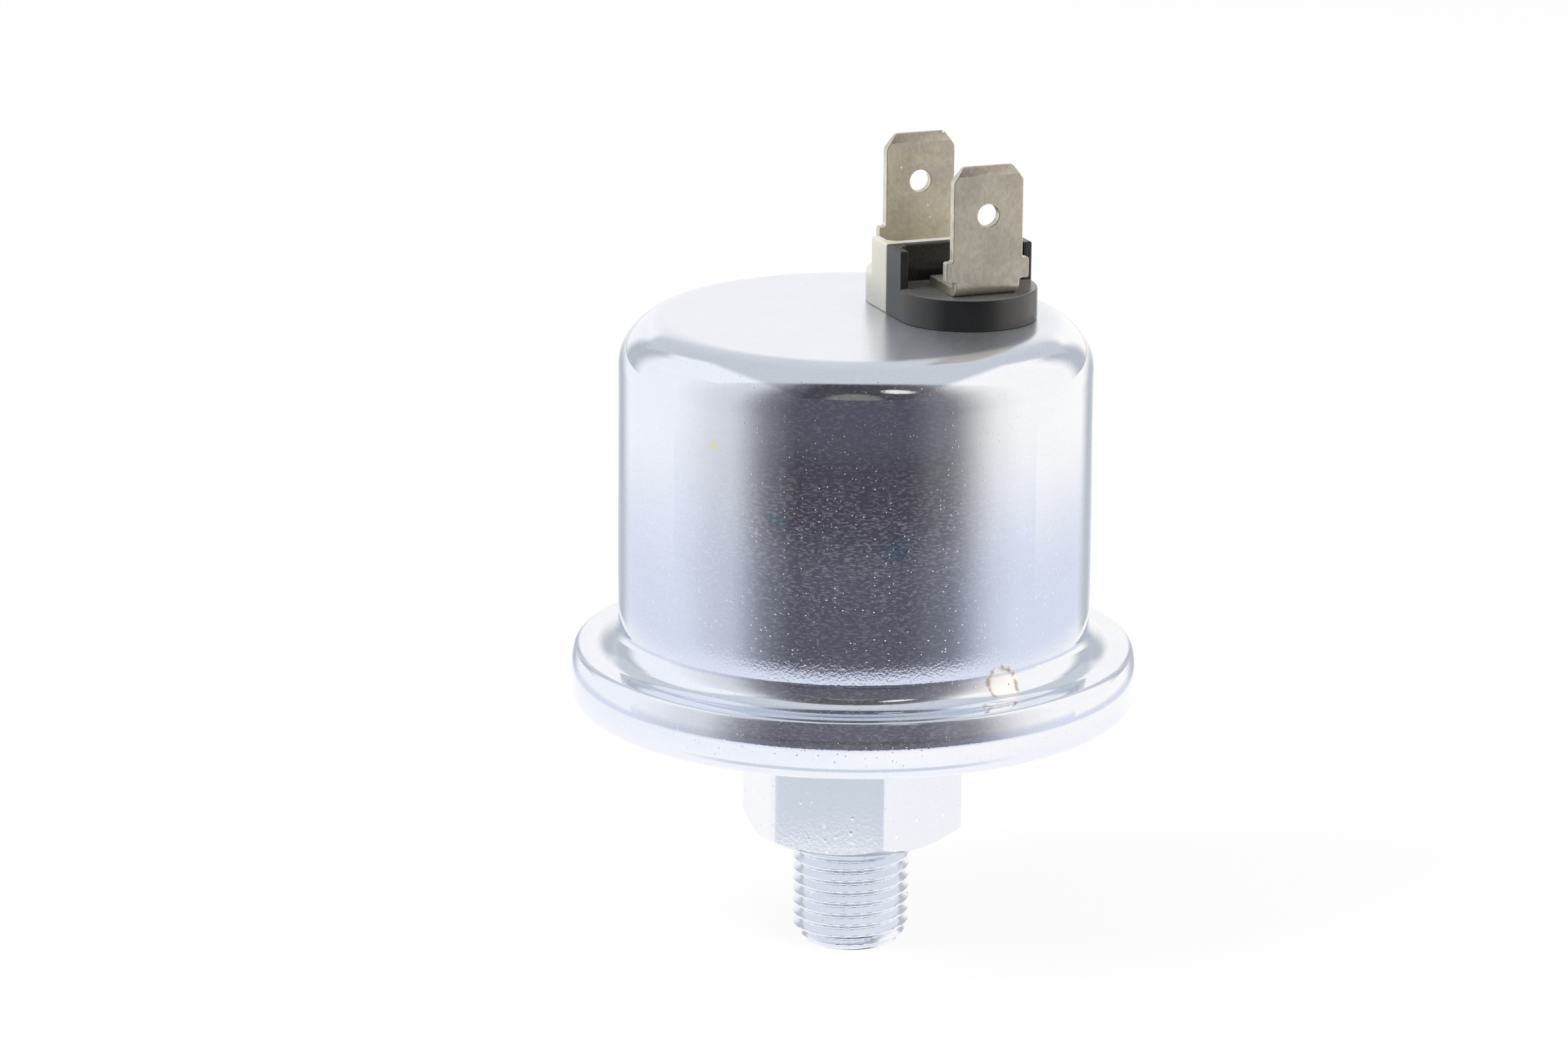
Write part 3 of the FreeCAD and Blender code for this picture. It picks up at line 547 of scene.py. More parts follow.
# %% The blades' blank
blade_half = 3.15 * MM
blade_thickness = 0.8 * MM
blade_tip_half = 2.2 * MM
blade_tip_chamfer = 1.25 * MM
blade_bevel = 0.8 * MM
blade_tip_thickness = 0.36 * MM
blade_hole_r = 0.95 * MM
blade_hole_below_tip = 4.2 * MM
blade_corner = 0.22 * MM
shoulder_half = 3.75 * MM
shoulder_below_tip = 8.0 * MM
shoulder_height = 1.75 * MM
neck_half = 2.9 * MM
foot_length = 5.3 * MM
bend_radius = 0.2 * MM + blade_thickness / 2
bend_hold = 0.1 * MM
edge_round = 0.09 * MM
print("blades: %.1f by %.1f mm, with a hole of %.1f mm"
      % (2 * blade_half / MM, blade_thickness / MM, 2 * blade_hole_r / MM))


def rounded_corners(points, radius, steps=4):
    """A closed outline with each corner rounded by a short curve."""
    result = []
    most = 0.45
    count = len(points)
    for k in range(count):
        corner = Vector(points[k])
        before = Vector(points[k - 1]) - corner
        after = Vector(points[(k + 1) % count]) - corner
        reach = min(radius, before.length * most, after.length * most)
        start = corner + before.normalized() * reach
        end = corner + after.normalized() * reach
        for s in range(steps + 1):
            t = s / steps
            result.append(tuple((1 - t) ** 2 * start + 2 * t * (1 - t) * corner + t * t * end))
    return result


def blank_outline(tip):
    """The flat blank: X across, Y along the strip, with 0 where the foot meets the blade's line."""
    shoulder_top = tip - shoulder_below_tip
    shoulder_low = shoulder_top - shoulder_height
    right = [(neck_half, -foot_length), (neck_half, shoulder_low), (shoulder_half, shoulder_low),
             (shoulder_half, shoulder_top), (blade_half, shoulder_top),
             (blade_half, tip - blade_tip_chamfer), (blade_tip_half, tip)]
    return rounded_corners(right + [(-x, y) for x, y in reversed(right)], blade_corner)


def add_spline(curve, points):
    spline = curve.splines.new("POLY")
    spline.points.add(len(points) - 1)
    for point, (x, y) in zip(spline.points, points):
        point.co = (x, y, 0, 1)
    spline.use_cyclic_u = True


def flat_blank(name, tip):
    curve = bpy.data.curves.new(name, "CURVE")
    curve.dimensions = "2D"
    curve.fill_mode = "BOTH"
    curve.extrude = blade_thickness / 2 - edge_round
    curve.bevel_depth = edge_round
    curve.bevel_resolution = 2
    curve.offset = -edge_round
    add_spline(curve, blank_outline(tip))
    hole = [(blade_hole_r * math.cos(a), tip - blade_hole_below_tip + blade_hole_r * math.sin(a))
            for a in [2 * math.pi * k / 40 for k in range(40)]]
    add_spline(curve, hole)
    holder = bpy.data.objects.new(name, curve)
    bpy.context.scene.collection.objects.link(holder)
    bpy.context.view_layer.update()
    mesh = bpy.data.meshes.new_from_object(holder.evaluated_get(bpy.context.evaluated_depsgraph_get()))
    bpy.data.objects.remove(holder)
    return mesh


# %% [markdown]
# The press works on the blank: the rows below the bend stay flat and become the foot, the rows above
# it stand up, and the tip is squeezed to a thin edge so that a receptacle slides on easily.

# %% The blades
def blade(name, node, side):
    """A bent blade over the place of a node. The side is -1 in front and 1 behind."""
    low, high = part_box(node)
    middle = (low.x + high.x) / 2
    reach = max(abs(low.y), abs(high.y)) - blade_thickness / 2
    foot_z = low.z + blade_thickness / 2
    quarter = math.pi / 2 * bend_radius
    saved = 2 * bend_radius - quarter
    tip = high.z - foot_z - saved
    mesh = flat_blank(name, tip)
    bm = bmesh.new()
    bm.from_mesh(mesh)
    bmesh.ops.remove_doubles(bm, verts=bm.verts, dist=1e-6)
    bend_start = -bend_radius
    bend_end = bend_start + quarter
    cuts = [bend_start + quarter * k / 8 for k in range(9)]
    cuts += [bend_start - bend_hold, bend_end + bend_hold, tip - blade_bevel]
    for cut in cuts:
        geometry = bm.verts[:] + bm.edges[:] + bm.faces[:]
        bmesh.ops.bisect_plane(bm, geom=geometry, dist=1e-7, plane_co=(0, cut, 0), plane_no=(0, 1, 0))
    for vert in bm.verts:
        across, along, thick = vert.co
        squeeze = max(0.0, (along - (tip - blade_bevel)) / blade_bevel)
        thick *= 1 - squeeze * (1 - blade_tip_thickness / blade_thickness)
        if along <= bend_start:
            out = reach + along
            z = foot_z + thick
        elif along >= bend_end:
            out = reach - thick
            z = foot_z + bend_radius + (along - bend_end)
        else:
            angle = (along - bend_start) / bend_radius
            out = reach - bend_radius + (bend_radius - thick) * math.sin(angle)
            z = foot_z + bend_radius - (bend_radius - thick) * math.cos(angle)
        vert.co = (middle + across, side * out, z)
    bmesh.ops.recalc_face_normals(bm, faces=bm.faces)
    bm.to_mesh(mesh)
    bm.free()
    mesh.shade_smooth()
    mesh.set_sharp_from_angle(angle=math.radians(14))
    piece = bpy.data.objects.new(name, mesh)
    bpy.context.scene.collection.objects.link(piece)
    return piece


front_blade = blade("front_blade", "front_blade_terminal", -1)
rear_blade = blade("rear_blade", "rear_blade_terminal", 1)
print("blades:", len(front_blade.data.vertices), "points each")

# %% [markdown]
# ## The rivets
#
# Each blade's foot is held by a rivet whose low head is domed. The shank and the flat inner head are
# drawn as well, because the piece takes the place of the whole solid.

# %% The rivets
def terminal_rivet(name, node):
    low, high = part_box(node)
    x = (low.x + high.x) / 2
    y = (low.y + high.y) / 2
    head_r = (high.x - low.x) / 2
    shank_half = 1.25 * MM
    head = 0.8 * MM
    soft = 0.2 * MM
    brim = 0.18 * MM
    lower = low.z + head
    base = high.z - head
    outline = [(0, low.z)] + arc(head_r - soft, low.z + soft, soft, -90, 0, 4)
    outline += [(head_r, lower), (shank_half, lower), (shank_half, base), (head_r, base),
                (head_r, base + brim)]
    dome = high.z - base - brim
    outline += [(head_r * math.cos(a), base + brim + dome * math.sin(a))
                for a in [math.pi / 2 * k / 8 for k in range(1, 8)]]
    outline += [(0, high.z)]
    return turned(name, outline, 48, x, y)


front_rivet = terminal_rivet("front_rivet", "front_terminal_rivet")
rear_rivet = terminal_rivet("rear_rivet", "rear_terminal_rivet")
print("rivets:", len(front_rivet.data.vertices), "points each")

# %% [markdown]
# ## Finishes
#
# Node groups work out masks and values, and the shader itself stays outside them. Every pattern reads
# Object coordinates, in metres, so it sticks to the surface from all sides. First come short words for
# what shader trees need again and again.

# %% Helpers for shader trees
FLOAT, VECTOR = "NodeSocketFloat", "NodeSocketVector"
PER_METRE = 1.0 / MM


def new_group(name, inputs, outputs):
    """A shader node group: its tree helper, and its input and output nodes."""
    tree = bpy.data.node_groups.new(name, "ShaderNodeTree")
    for label, (kind, value) in inputs.items():
        tree.interface.new_socket(label, in_out="INPUT", socket_type=kind).default_value = value
    for label in outputs:
        tree.interface.new_socket(label, in_out="OUTPUT", socket_type=FLOAT)
    t = NodeTree(tree)
    return t, t.node("NodeGroupInput"), t.node("NodeGroupOutput")


def object_place(t):
    return t.node("ShaderNodeTexCoord").outputs["Object"]


def split_place(t):
    """X, Y and Z of the Object coordinates."""
    return t.split(object_place(t))


def in_steps_of(t, size):
    """Object coordinates, counted in steps of a size in millimetres."""
    return t.scaled(object_place(t), t.math("DIVIDE", PER_METRE, size))


def stretched(t, x, y, z):
    """Object coordinates, scaled along each axis."""
    return t.vector("MULTIPLY", object_place(t), (x, y, z))["Vector"]


def noise(t, vector, detail=2.0, rough=0.5):
    made = t.node("ShaderNodeTexNoise")
    t.link(vector, made.inputs["Vector"])
    made.inputs["Scale"].default_value = 1.0
    made.inputs["Detail"].default_value = detail
    made.inputs["Roughness"].default_value = rough
    return made.outputs["Fac"]


def mix_colour(t, factor, first, second):
    made = t.node("ShaderNodeMix", data_type="RGBA")
    t.put(made.inputs["Factor"], factor)
    t.put_colour(made.inputs[6], first)
    t.put_colour(made.inputs[7], second)
    return made.outputs[2]


print("patterns are counted in millimetres, %.0f to the metre" % PER_METRE)

# %% [markdown]
# ### Patterns that several finishes share
#
# Drawn and plated sheet isn't even: it has broad clouds, a fine grain, streaks that run round the wall,
# and short dashes where its skin is rough. Specks and pits are cells of a pattern of which only a few
# are kept. A spot is the distance from a place, with noise added so that its edge is uneven. Each is a
# group with named inputs, so that one pattern serves many finishes at its own size.

# %% Node groups for surfaces
def plated_group():
    """Clouds, grain, streaks and short dashes of a plated or rolled surface, as masks from 0 to 1."""
    inputs = {"Cloud size": (FLOAT, 14.0), "Grain size": (FLOAT, 0.22)}
    t, given, out = new_group("plated surface", inputs, ["Clouds", "Grain", "Streaks", "Dashes"])
    clouds = noise(t, in_steps_of(t, given.outputs["Cloud size"]), 3.0)
    grain = noise(t, in_steps_of(t, given.outputs["Grain size"]), 2.0, 0.6)
    streaks = noise(t, stretched(t, 190.0, 190.0, 2600.0), 2.0, 0.55)
    dashes = noise(t, stretched(t, 2400.0, 2400.0, 7500.0), 2.0, 0.6)
    t.link(t.ramp(clouds, 0.3, 0.7, smooth=True), out.inputs["Clouds"])
    t.link(t.ramp(grain, 0.28, 0.72), out.inputs["Grain"])
    t.link(t.ramp(streaks, 0.35, 0.75), out.inputs["Streaks"])
    t.link(t.ramp(dashes, 0.48, 0.68), out.inputs["Dashes"])
    return t.tree


def specks_group():
    """Small scattered specks: a mask that is 1 in a few cells of a pattern, and a rounded height."""
    inputs = {"Spacing": (FLOAT, 1.2), "Size": (FLOAT, 0.10), "Share": (FLOAT, 0.3)}
    t, given, out = new_group("specks", inputs, ["Mask", "Height"])
    cells = t.node("ShaderNodeTexVoronoi")
    t.link(in_steps_of(t, given.outputs["Spacing"]), cells.inputs["Vector"])
    cells.inputs["Scale"].default_value = 1.0
    split = t.node("ShaderNodeSeparateColor")
    t.link(cells.outputs["Color"], split.inputs[0])
    chosen = t.math("LESS_THAN", split.outputs[0], given.outputs["Share"])
    reach = t.times(given.outputs["Size"], t.add(split.outputs[1], 0.35))
    near = t.math("LESS_THAN", cells.outputs["Distance"], reach)
    t.link(t.times(chosen, near), out.inputs["Mask"])
    profile = t.ramp(cells.outputs["Distance"], 0.0, reach, 1.0, 0.0, smooth=True)
    t.link(t.times(chosen, profile), out.inputs["Height"])
    return t.tree


def spot_group():
    """A mask of a ring or a filled spot round a place, with its sizes in millimetres."""
    inputs = {"Place": (VECTOR, (0, 0, 0)), "Radius": (FLOAT, 1.4), "Width": (FLOAT, 0.3),
              "Fill": (FLOAT, 0.3)}
    t, given, out = new_group("spot", inputs, ["Mask"])
    gap = t.vector("DISTANCE", object_place(t), given.outputs["Place"])["Value"]
    unevenness = 0.5
    uneven = t.times(noise(t, stretched(t, 900.0, 900.0, 900.0)), unevenness)
    away = t.add(t.times(gap, PER_METRE), t.math("SUBTRACT", uneven, unevenness / 2))
    off = t.math("ABSOLUTE", t.math("SUBTRACT", away, given.outputs["Radius"]))
    rim = t.ramp(off, 0.0, given.outputs["Width"], 1.0, 0.0, smooth=True)
    inside = t.math("LESS_THAN", away, given.outputs["Radius"])
    t.link(t.math("MAXIMUM", rim, t.times(inside, given.outputs["Fill"])), out.inputs["Mask"])
    return t.tree


plated = plated_group()
specks = specks_group()
spot = spot_group()
print("node groups:", ", ".join(group.name for group in (plated, specks, spot)))

# %% [markdown]
# ### What a finish is made with
#
# A finish is a material with one Principled shader. Masks change its colour, its roughness and its bump.
# Lowering Metallic a little in places lets light scatter there, as it does where plating has gone dull.

# %% Helpers for finishes
BUMP_HEIGHT = 0.03 * MM


class Finish(NodeTree):
    """A material with a Principled shader, and short words for what feeds it."""

    def __init__(self, name, colour, roughness, metallic=0.0, **sockets):
        self.material = bpy.data.materials.new(name)
        self.material.use_nodes = True
        self.material.diffuse_color = (*colour, 1.0)
        super().__init__(self.material.node_tree)
        self.shader = next(n for n in self.tree.nodes if n.type == "BSDF_PRINCIPLED")
        self.shader.inputs["Base Color"].default_value = (*colour, 1.0)
        self.shader.inputs["Roughness"].default_value = roughness
        self.shader.inputs["Metallic"].default_value = metallic
        for label, value in sockets.items():
            self.shader.inputs[label.replace("_", " ")].default_value = value

    def group(self, tree, **values):
        made = self.node("ShaderNodeGroup", node_tree=tree)
        for label, value in values.items():
            self.put(made.inputs[label.replace("_", " ")], value)
        return made.outputs

    def feed(self, value, label):
        self.link(value, self.shader.inputs[label])

    def bump(self, height, strength, distance=BUMP_HEIGHT):
        made = self.node("ShaderNodeBump")
        made.inputs["Strength"].default_value = strength
        made.inputs["Distance"].default_value = distance
        self.link(height, made.inputs["Height"])
        self.feed(made.outputs[0], "Normal")


def hazy(m, amount):
    """Lets light scatter in a metal's surface, by an amount from 0 to 1."""
    m.feed(m.math("SUBTRACT", 1.0, amount, clamp=True), "Metallic")


def stained(m, shade, marks):
    """Lays marks, each a mask, a strength and a colour, over a finish's shade."""
    for mask, strength, colour in marks:
        shade = mix_colour(m, m.times(mask, strength), shade, colour)
    m.feed(shade, "Base Color")
    return m.material


print("bumps stand up to %.2f mm high" % (BUMP_HEIGHT / MM))

# %% [markdown]
# ### Metal
#
# One recipe serves all plated and bare metal, with other colours and another grain. Clouds, grain and
# streaks mix a duller shade into the colour, and the clouds make the roughness wander a little.

# %% A recipe for metal
dull_share = 0.6


def metal(name, colour, dull, roughness, grain_size=0.22, grain=0.5, clouds=0.5, streaks=0.0, bump=0.1,
          wander=0.05, cloud_size=14.0):
    """Metal with clouds, grain and streaks. Gives the finish, and its shade for marks to go over."""
    m = Finish(name, colour, roughness, 1.0)
    masks = m.group(plated, Grain_size=grain_size, Cloud_size=cloud_size)
    amount = m.add(m.times(masks["Clouds"], clouds), m.times(masks["Grain"], grain),
                   m.times(masks["Streaks"], streaks))
    shade = mix_colour(m, m.math("MULTIPLY", amount, dull_share, clamp=True), colour, dull)
    m.feed(shade, "Base Color")
    if wander:
        m.feed(m.ramp(masks["Clouds"], 0.0, 1.0, roughness, roughness + wander), "Roughness")
    if bump:
        m.bump(masks["Grain"], bump)
    return m, shade


print("metal: the duller shade takes up to", dull_share, "of each mask")

# %% [markdown]
# ### The can's plating
#
# Bright zinc on drawn sheet is almost a mirror on the wall, and duller on the flat top. Low on the wall
# it is worn by fine dashes, it has pits all over, and it is a little hazy where the flange was rolled.
# Each of these is a mask by height, because the can is the same all the way round.

# %% The can's plating
wall_roughness = 0.035
top_roughness = 0.27
top_haze = 0.13
rolled_haze = 0.05
zinc, zinc_shade = metal("zinc can", (0.82, 0.87, 0.95), (0.70, 0.73, 0.82), wall_roughness, grain_size=0.24,
                         grain=0.35, clouds=0.2, streaks=0.2, bump=0.0, wander=0.0)
can_z = split_place(zinc)[2]
on_top = zinc.ramp(can_z, case_top - 0.5 * MM, case_top - 0.02 * MM, smooth=True)
zinc.feed(zinc.ramp(on_top, 0.0, 1.0, wall_roughness, top_roughness), "Roughness")
rolled = zinc.ramp(can_z, flange_top + 3.5 * MM, flange_top + 0.5 * MM, 0.0, rolled_haze)
worn_low = zinc.ramp(can_z, case_top - 6.0 * MM, case_top - 14.0 * MM, 0.045, 0.15, smooth=True)
clean_foot = zinc.ramp(can_z, case_top - 17.0 * MM, case_top - 23.0 * MM, 1.0, 0.6, smooth=True)
worn = zinc.times(zinc.group(plated)["Dashes"], zinc.times(worn_low, clean_foot))
hazy(zinc, zinc.add(worn, zinc.add(rolled, zinc.times(on_top, top_haze))))
fine_pits = zinc.group(specks, Spacing=0.30, Size=0.24, Share=0.28)["Height"]
can_grain = zinc.group(plated, Grain_size=0.24)["Grain"]
zinc.bump(zinc.add(zinc.times(can_grain, 0.07), fine_pits), 0.38)
print("can: roughness %.3f on the wall, %.2f on the top" % (wall_roughness, top_roughness))

# %% [markdown]
# ### Marks on the can
#
# A drop has dried at the can's foot. It is pale inside, with a broken brown ring and a few specks. The
# wall has two faint bluish patches, and a yellow and a black speck on its left. Marks like these lie at
# one place, so each is a spot round a point on the surface.

# %% Marks on the can
DROP = (5.4 * MM, -19.6 * MM, 17.85 * MM)
BLUE_LEFT = (-12.8 * MM, -15.5 * MM, 32.6 * MM)
BLUE_RIGHT = (-4.4 * MM, -19.6 * MM, 30.8 * MM)
YELLOW = (-16.96 * MM, -10.87 * MM, 38.23 * MM)
BLACK = (-17.05 * MM, -10.3 * MM, 43.5 * MM)
drop_radius = 1.45


def mark(place, radius, width, fill):
    return zinc.group(spot, Place=place, Radius=radius, Width=width, Fill=fill)["Mask"]


broken = zinc.ramp(noise(zinc, stretched(zinc, 1500.0, 1500.0, 1500.0)), 0.40, 0.60)
patchy = zinc.ramp(noise(zinc, stretched(zinc, 420.0, 420.0, 420.0), 3.0, 0.7), 0.40, 0.58)
above_foot = zinc.ramp(can_z, flange_top + 0.25 * MM, flange_top + 0.5 * MM)
dried_drop = mark(DROP, drop_radius, 0.45, 1.0)
drop_ring = zinc.times(mark(DROP, drop_radius, 0.4, 0.0), broken)
drop_specks = zinc.times(zinc.group(specks, Spacing=0.6, Size=0.17, Share=0.5)["Mask"], dried_drop)
brown = zinc.times(zinc.math("MAXIMUM", drop_ring, drop_specks), above_foot)
dark_specks = zinc.group(specks, Spacing=2.6, Size=0.035, Share=0.12)["Mask"]
blue = zinc.times(zinc.add(mark(BLUE_LEFT, 0.5, 1.2, 1.0), mark(BLUE_RIGHT, 0.7, 1.5, 1.0)), patchy)
zinc_can = stained(zinc, zinc_shade, [(dried_drop, 0.7, (1.0, 0.98, 0.92)),
                                      (blue, 0.45, (0.36, 0.66, 0.88)),
                                      (brown, 0.75, (0.28, 0.23, 0.20)),
                                      (dark_specks, 0.5, (0.30, 0.29, 0.30)),
                                      (mark(YELLOW, 0.25, 0.25, 0.9), 0.6, (0.90, 0.85, 0.35)),
                                      (mark(BLACK, 0.1, 0.15, 1.0), 0.8, (0.20, 0.19, 0.20))])
print("can: nodes in its finish", len(zinc.tree.nodes))

# %% [markdown]
# ### The stud's plating and the tinned blades
#
# The stud is turned from bar, so its zinc is coarser: pale and dark flecks, and shallow pits. The blades
# are brass strip with a soft coat of tin. Handling nicked the tin, and each nick gets a painted highlight: a
# pale dot for the light it catches.

# %% The stud's plating and the tinned blades
bar_zinc, bar_shade = metal("zinc stud", (0.82, 0.86, 0.93), (0.70, 0.73, 0.80), 0.13, grain_size=0.30,
                            grain=0.3, clouds=0.25, bump=0.0)
light_flecks = bar_zinc.group(specks, Spacing=1.1, Size=0.13, Share=0.45)["Mask"]
dark_flecks = bar_zinc.group(specks, Spacing=1.3, Size=0.08, Share=0.35)["Mask"]
zinc_stud = stained(bar_zinc, bar_shade, [(light_flecks, 0.8, (1.0, 1.0, 1.0)),
                                          (dark_flecks, 0.5, (0.55, 0.56, 0.60))])
pits = bar_zinc.group(specks, Spacing=0.9, Size=0.2, Share=0.45)["Height"]
bar_grain = bar_zinc.group(plated, Grain_size=0.30)["Grain"]
bar_zinc.bump(bar_zinc.add(bar_zinc.times(bar_grain, 0.25), pits), 0.8, 0.04 * MM)
tinned, tinned_shade = metal("tinned brass", (0.85, 0.81, 0.69), (0.61, 0.57, 0.485), 0.42, grain_size=0.40,
                             grain=0.7, clouds=0.9, bump=0.25, cloud_size=3.2)
# Painted highlight: a pale dot with less metal shine at each nick, for the glint it catches.
nick_glints = tinned.group(specks, Spacing=1.3, Size=0.09, Share=0.35)["Mask"]
hazy(tinned, tinned.times(nick_glints, 0.6))
tin_brass = stained(tinned, tinned_shade, [(nick_glints, 0.8, (1.0, 0.97, 0.90))])
finishes = {"zinc_can": zinc_can, "zinc_stud": zinc_stud, "tin_brass": tin_brass}
print("plated finishes:", ", ".join(finishes))

# %% [markdown]
# ### The metals inside
#
# The inner pieces are plain steel, brass, bronze, silver and wire, so the recipe alone does for them.

# %% The metals inside
inner_metals = {
    "plate_steel": ("plate steel", (0.76, 0.77, 0.80), (0.60, 0.60, 0.64), 0.30, 0.5),
    "bright_steel": ("bright steel", (0.66, 0.66, 0.67), (0.50, 0.50, 0.51), 0.24, 0.3),
    "bare_brass": ("bare brass", (0.78, 0.60, 0.32), (0.62, 0.46, 0.23), 0.30, 0.5),
    "spring_bronze": ("spring bronze", (0.72, 0.50, 0.32), (0.56, 0.38, 0.24), 0.30, 0.5),
    "contact_silver": ("contact silver", (0.86, 0.86, 0.84), (0.74, 0.73, 0.70), 0.18, 0.2),
    "resistance_wire": ("resistance wire", (0.52, 0.47, 0.42), (0.40, 0.36, 0.32), 0.35, 0.5),
    "tinned_wire": ("tinned wire", (0.80, 0.80, 0.80), (0.66, 0.66, 0.66), 0.25, 0.3)}
for slot_name, (name, colour, dull, roughness, grain) in inner_metals.items():
    finishes[slot_name] = metal(name, colour, dull, roughness, grain=grain)[0].material
print("metals:", len(finishes))

# %% [markdown]
# ### Moulded and pressed materials
#
# The blocks are moulded plastic: one black, one ivory that lets a little light in. The black block's
# ledge is greyed with painted sheen for the light it catches, and painted shade darkens the ivory block
# near its foot. The boards and the gasket are inside and stay plain.

# %% Plastics, laminate and gasket
def moulded(name, colour, second, roughness, bump=0.12, **sockets):
    """Plastic or pressed sheet with a faint grain. Gives the finish and its shade."""
    m = Finish(name, colour, roughness, 0.0, **sockets)
    masks = m.group(plated, Cloud_size=5.0, Grain_size=0.16)
    shade = mix_colour(m, m.times(m.add(masks["Clouds"], masks["Grain"]), 0.5), colour, second)
    m.feed(shade, "Base Color")
    m.feed(m.ramp(masks["Grain"], 0.0, 1.0, roughness - 0.05, roughness + 0.08), "Roughness")
    m.bump(masks["Grain"], bump)
    return m, shade


def ledge_sheen(m):
    """A mask of the front block's flat ledge for painted sheen, which stays clear of the block's outer sides.
    """
    low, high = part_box("front_insulator")
    x, y, z = split_place(m)
    ledge = case_top + block_height
    on_ledge = m.times(m.ramp(z, ledge - 0.06 * MM, ledge - 0.01 * MM),
                       m.ramp(z, ledge + 0.06 * MM, ledge + 0.01 * MM))
    off_middle = m.math("ABSOLUTE", m.math("SUBTRACT", x, (low.x + high.x) / 2))
    pocket = (high.x - low.x) / 2 - block_arm
    in_pocket = m.math("LESS_THAN", off_middle, pocket - 0.05 * MM)
    in_front = m.math("GREATER_THAN", m.math("ABSOLUTE", y), block_straight)
    return m.times(on_ledge, m.math("MAXIMUM", in_pocket, in_front))


black, black_shade = moulded("black insulator", (0.006, 0.006, 0.006), (0.010, 0.010, 0.010), 0.26,
                             bump=0.06, IOR=1.70)
black_specks = black.group(specks, Spacing=1.3, Size=0.045, Share=0.25)["Mask"]
# Painted sheen: the ledge is greyed for the light that it catches.
finishes["black_insulator"] = stained(black, black_shade, [(black_specks, 0.8, (0.5, 0.5, 0.48)),
                                                           (ledge_sheen(black), 1.0, (0.15, 0.14, 0.13))])
ivory, ivory_shade = moulded("ivory insulator", (0.76, 0.75, 0.68), (0.68, 0.67, 0.58), 0.30,
                             Subsurface_Weight=0.5, Subsurface_Radius=(1.0, 0.8, 0.5), Subsurface_Scale=0.002)
# Painted shade: the ivory darkens towards its foot, where less light reaches.
foot_shade = ivory.ramp(split_place(ivory)[2], case_top + 3.0 * MM, case_top + 0.5 * MM, smooth=True)
finishes["ivory_insulator"] = stained(ivory, ivory_shade, [(foot_shade, 1.0, (0.58, 0.57, 0.51))])
board = moulded("pressed laminate", (0.30, 0.16, 0.085), (0.22, 0.11, 0.06), 0.5)[0]
gasket = moulded("gasket sheet", (0.02, 0.02, 0.02), (0.035, 0.035, 0.035), 0.7)[0]
finishes.update({"board_brown": board.material, "gasket_fibre": gasket.material})
print("finishes:", ", ".join(finishes))

# %% [markdown]
# ## Putting the pieces on the frame
#
# The thread is cut now, because its tree also sets the finish. Then each smooth piece takes the place of
# its solid and rides on the same body. The inner pieces stay the solids that they are.

# %% Pieces on the frame
apply_nodes(stud, thread_cutter(), Finish=zinc_stud)
stud.data.shade_smooth()
stud.data.set_sharp_from_angle(angle=math.radians(38))
outer = {can: ("case_shell", "zinc_can"), dish: ("base_plate", "plate_steel"),
         stud: ("pressure_stud", "zinc_stud"), front_block: ("front_insulator", "black_insulator"),
         rear_block: ("rear_insulator", "ivory_insulator"),
         front_blade: ("front_blade_terminal", "tin_brass"), rear_blade: ("rear_blade_terminal", "tin_brass"),
         front_rivet: ("front_terminal_rivet", "tin_brass"), rear_rivet: ("rear_terminal_rivet", "tin_brass")}
slots = {part["node"]: part["material_slot"] for part in frame["record"]["subparts"]}
for piece, (node, slot_name) in outer.items():
    piece.data.materials.clear()
    piece.data.materials.append(finishes[slot_name])
    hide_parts(node)
    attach(piece, "housing")
for name, node in frame["nodes"].items():
    node.data.materials.clear()
    node.data.materials.append(finishes[slots[name]])
print("smooth pieces:", len(outer), "of", len(slots))

# %% [markdown]
# ## The studio
#
# The photo was taken in a light tent, and the metal tells how it looks inside: white walls, a light grey
# roof, and in front the dark opening for the camera. First come the directions and the colours. Each
# side of the opening darkens in three steps. A step is a share of the darkness, then the angles from the
# camera where it begins and where it is complete.

# %% Directions and colours of the tent
scene = bpy.context.scene
scene.view_settings.view_transform = "Standard"
toward_camera = Vector((-0.375, -0.927, 0.0)).normalized()
across = Vector((-toward_camera.y, toward_camera.x, 0.0))
floor_level = shank_bottom
WHITE = (1.0, 1.0, 1.0)
PAPER = (0.92, 0.92, 0.92)
FLOOR_SHADE = (0.74, 0.77, 0.81)
EVEN_LIGHT = (0.68, 0.68, 0.68)
OPENING = (0.075, 0.066, 0.080)
OPENING_PALER = (0.118, 0.118, 0.148)
ROOF = (0.68, 0.69, 0.70)
TENT_LEFT = (1.04, 1.03, 1.03)
TENT_RIGHT = (1.16, 1.11, 1.04)
FAR_FLOOR = (0.82, 0.83, 0.92)
NEAR_FLOOR = (1.10, 1.07, 1.05)
SEAM = (0.56, 0.58, 0.60)
GLOW = (0.21, 0.21, 0.185)
HOT = (1.0, 0.95, 0.85)
OPEN_LEFT = ((0.28, 98.0, 60.0), (0.60, 64.0, 38.0), (0.12, 42.0, 26.0))
OPEN_RIGHT = ((0.18, 90.0, 64.0), (0.70, 73.0, 42.0), (0.12, 46.0, 22.0))
print("the opening is fully dark from %.0f to %.0f degrees" % (-OPEN_LEFT[2][2], OPEN_RIGHT[2][2]))


def opening_share(t, azimuth):
    """How much of the dark opening is seen in a direction."""
    sides = []
    for sign, steps in ((-1, OPEN_LEFT), (1, OPEN_RIGHT)):
        parts = [t.ramp(azimuth, sign * begins, sign * complete, 0.0, share, smooth=True)
                 for share, begins, complete in steps]
        sides.append(t.add(*parts))
    return t.times(*sides)


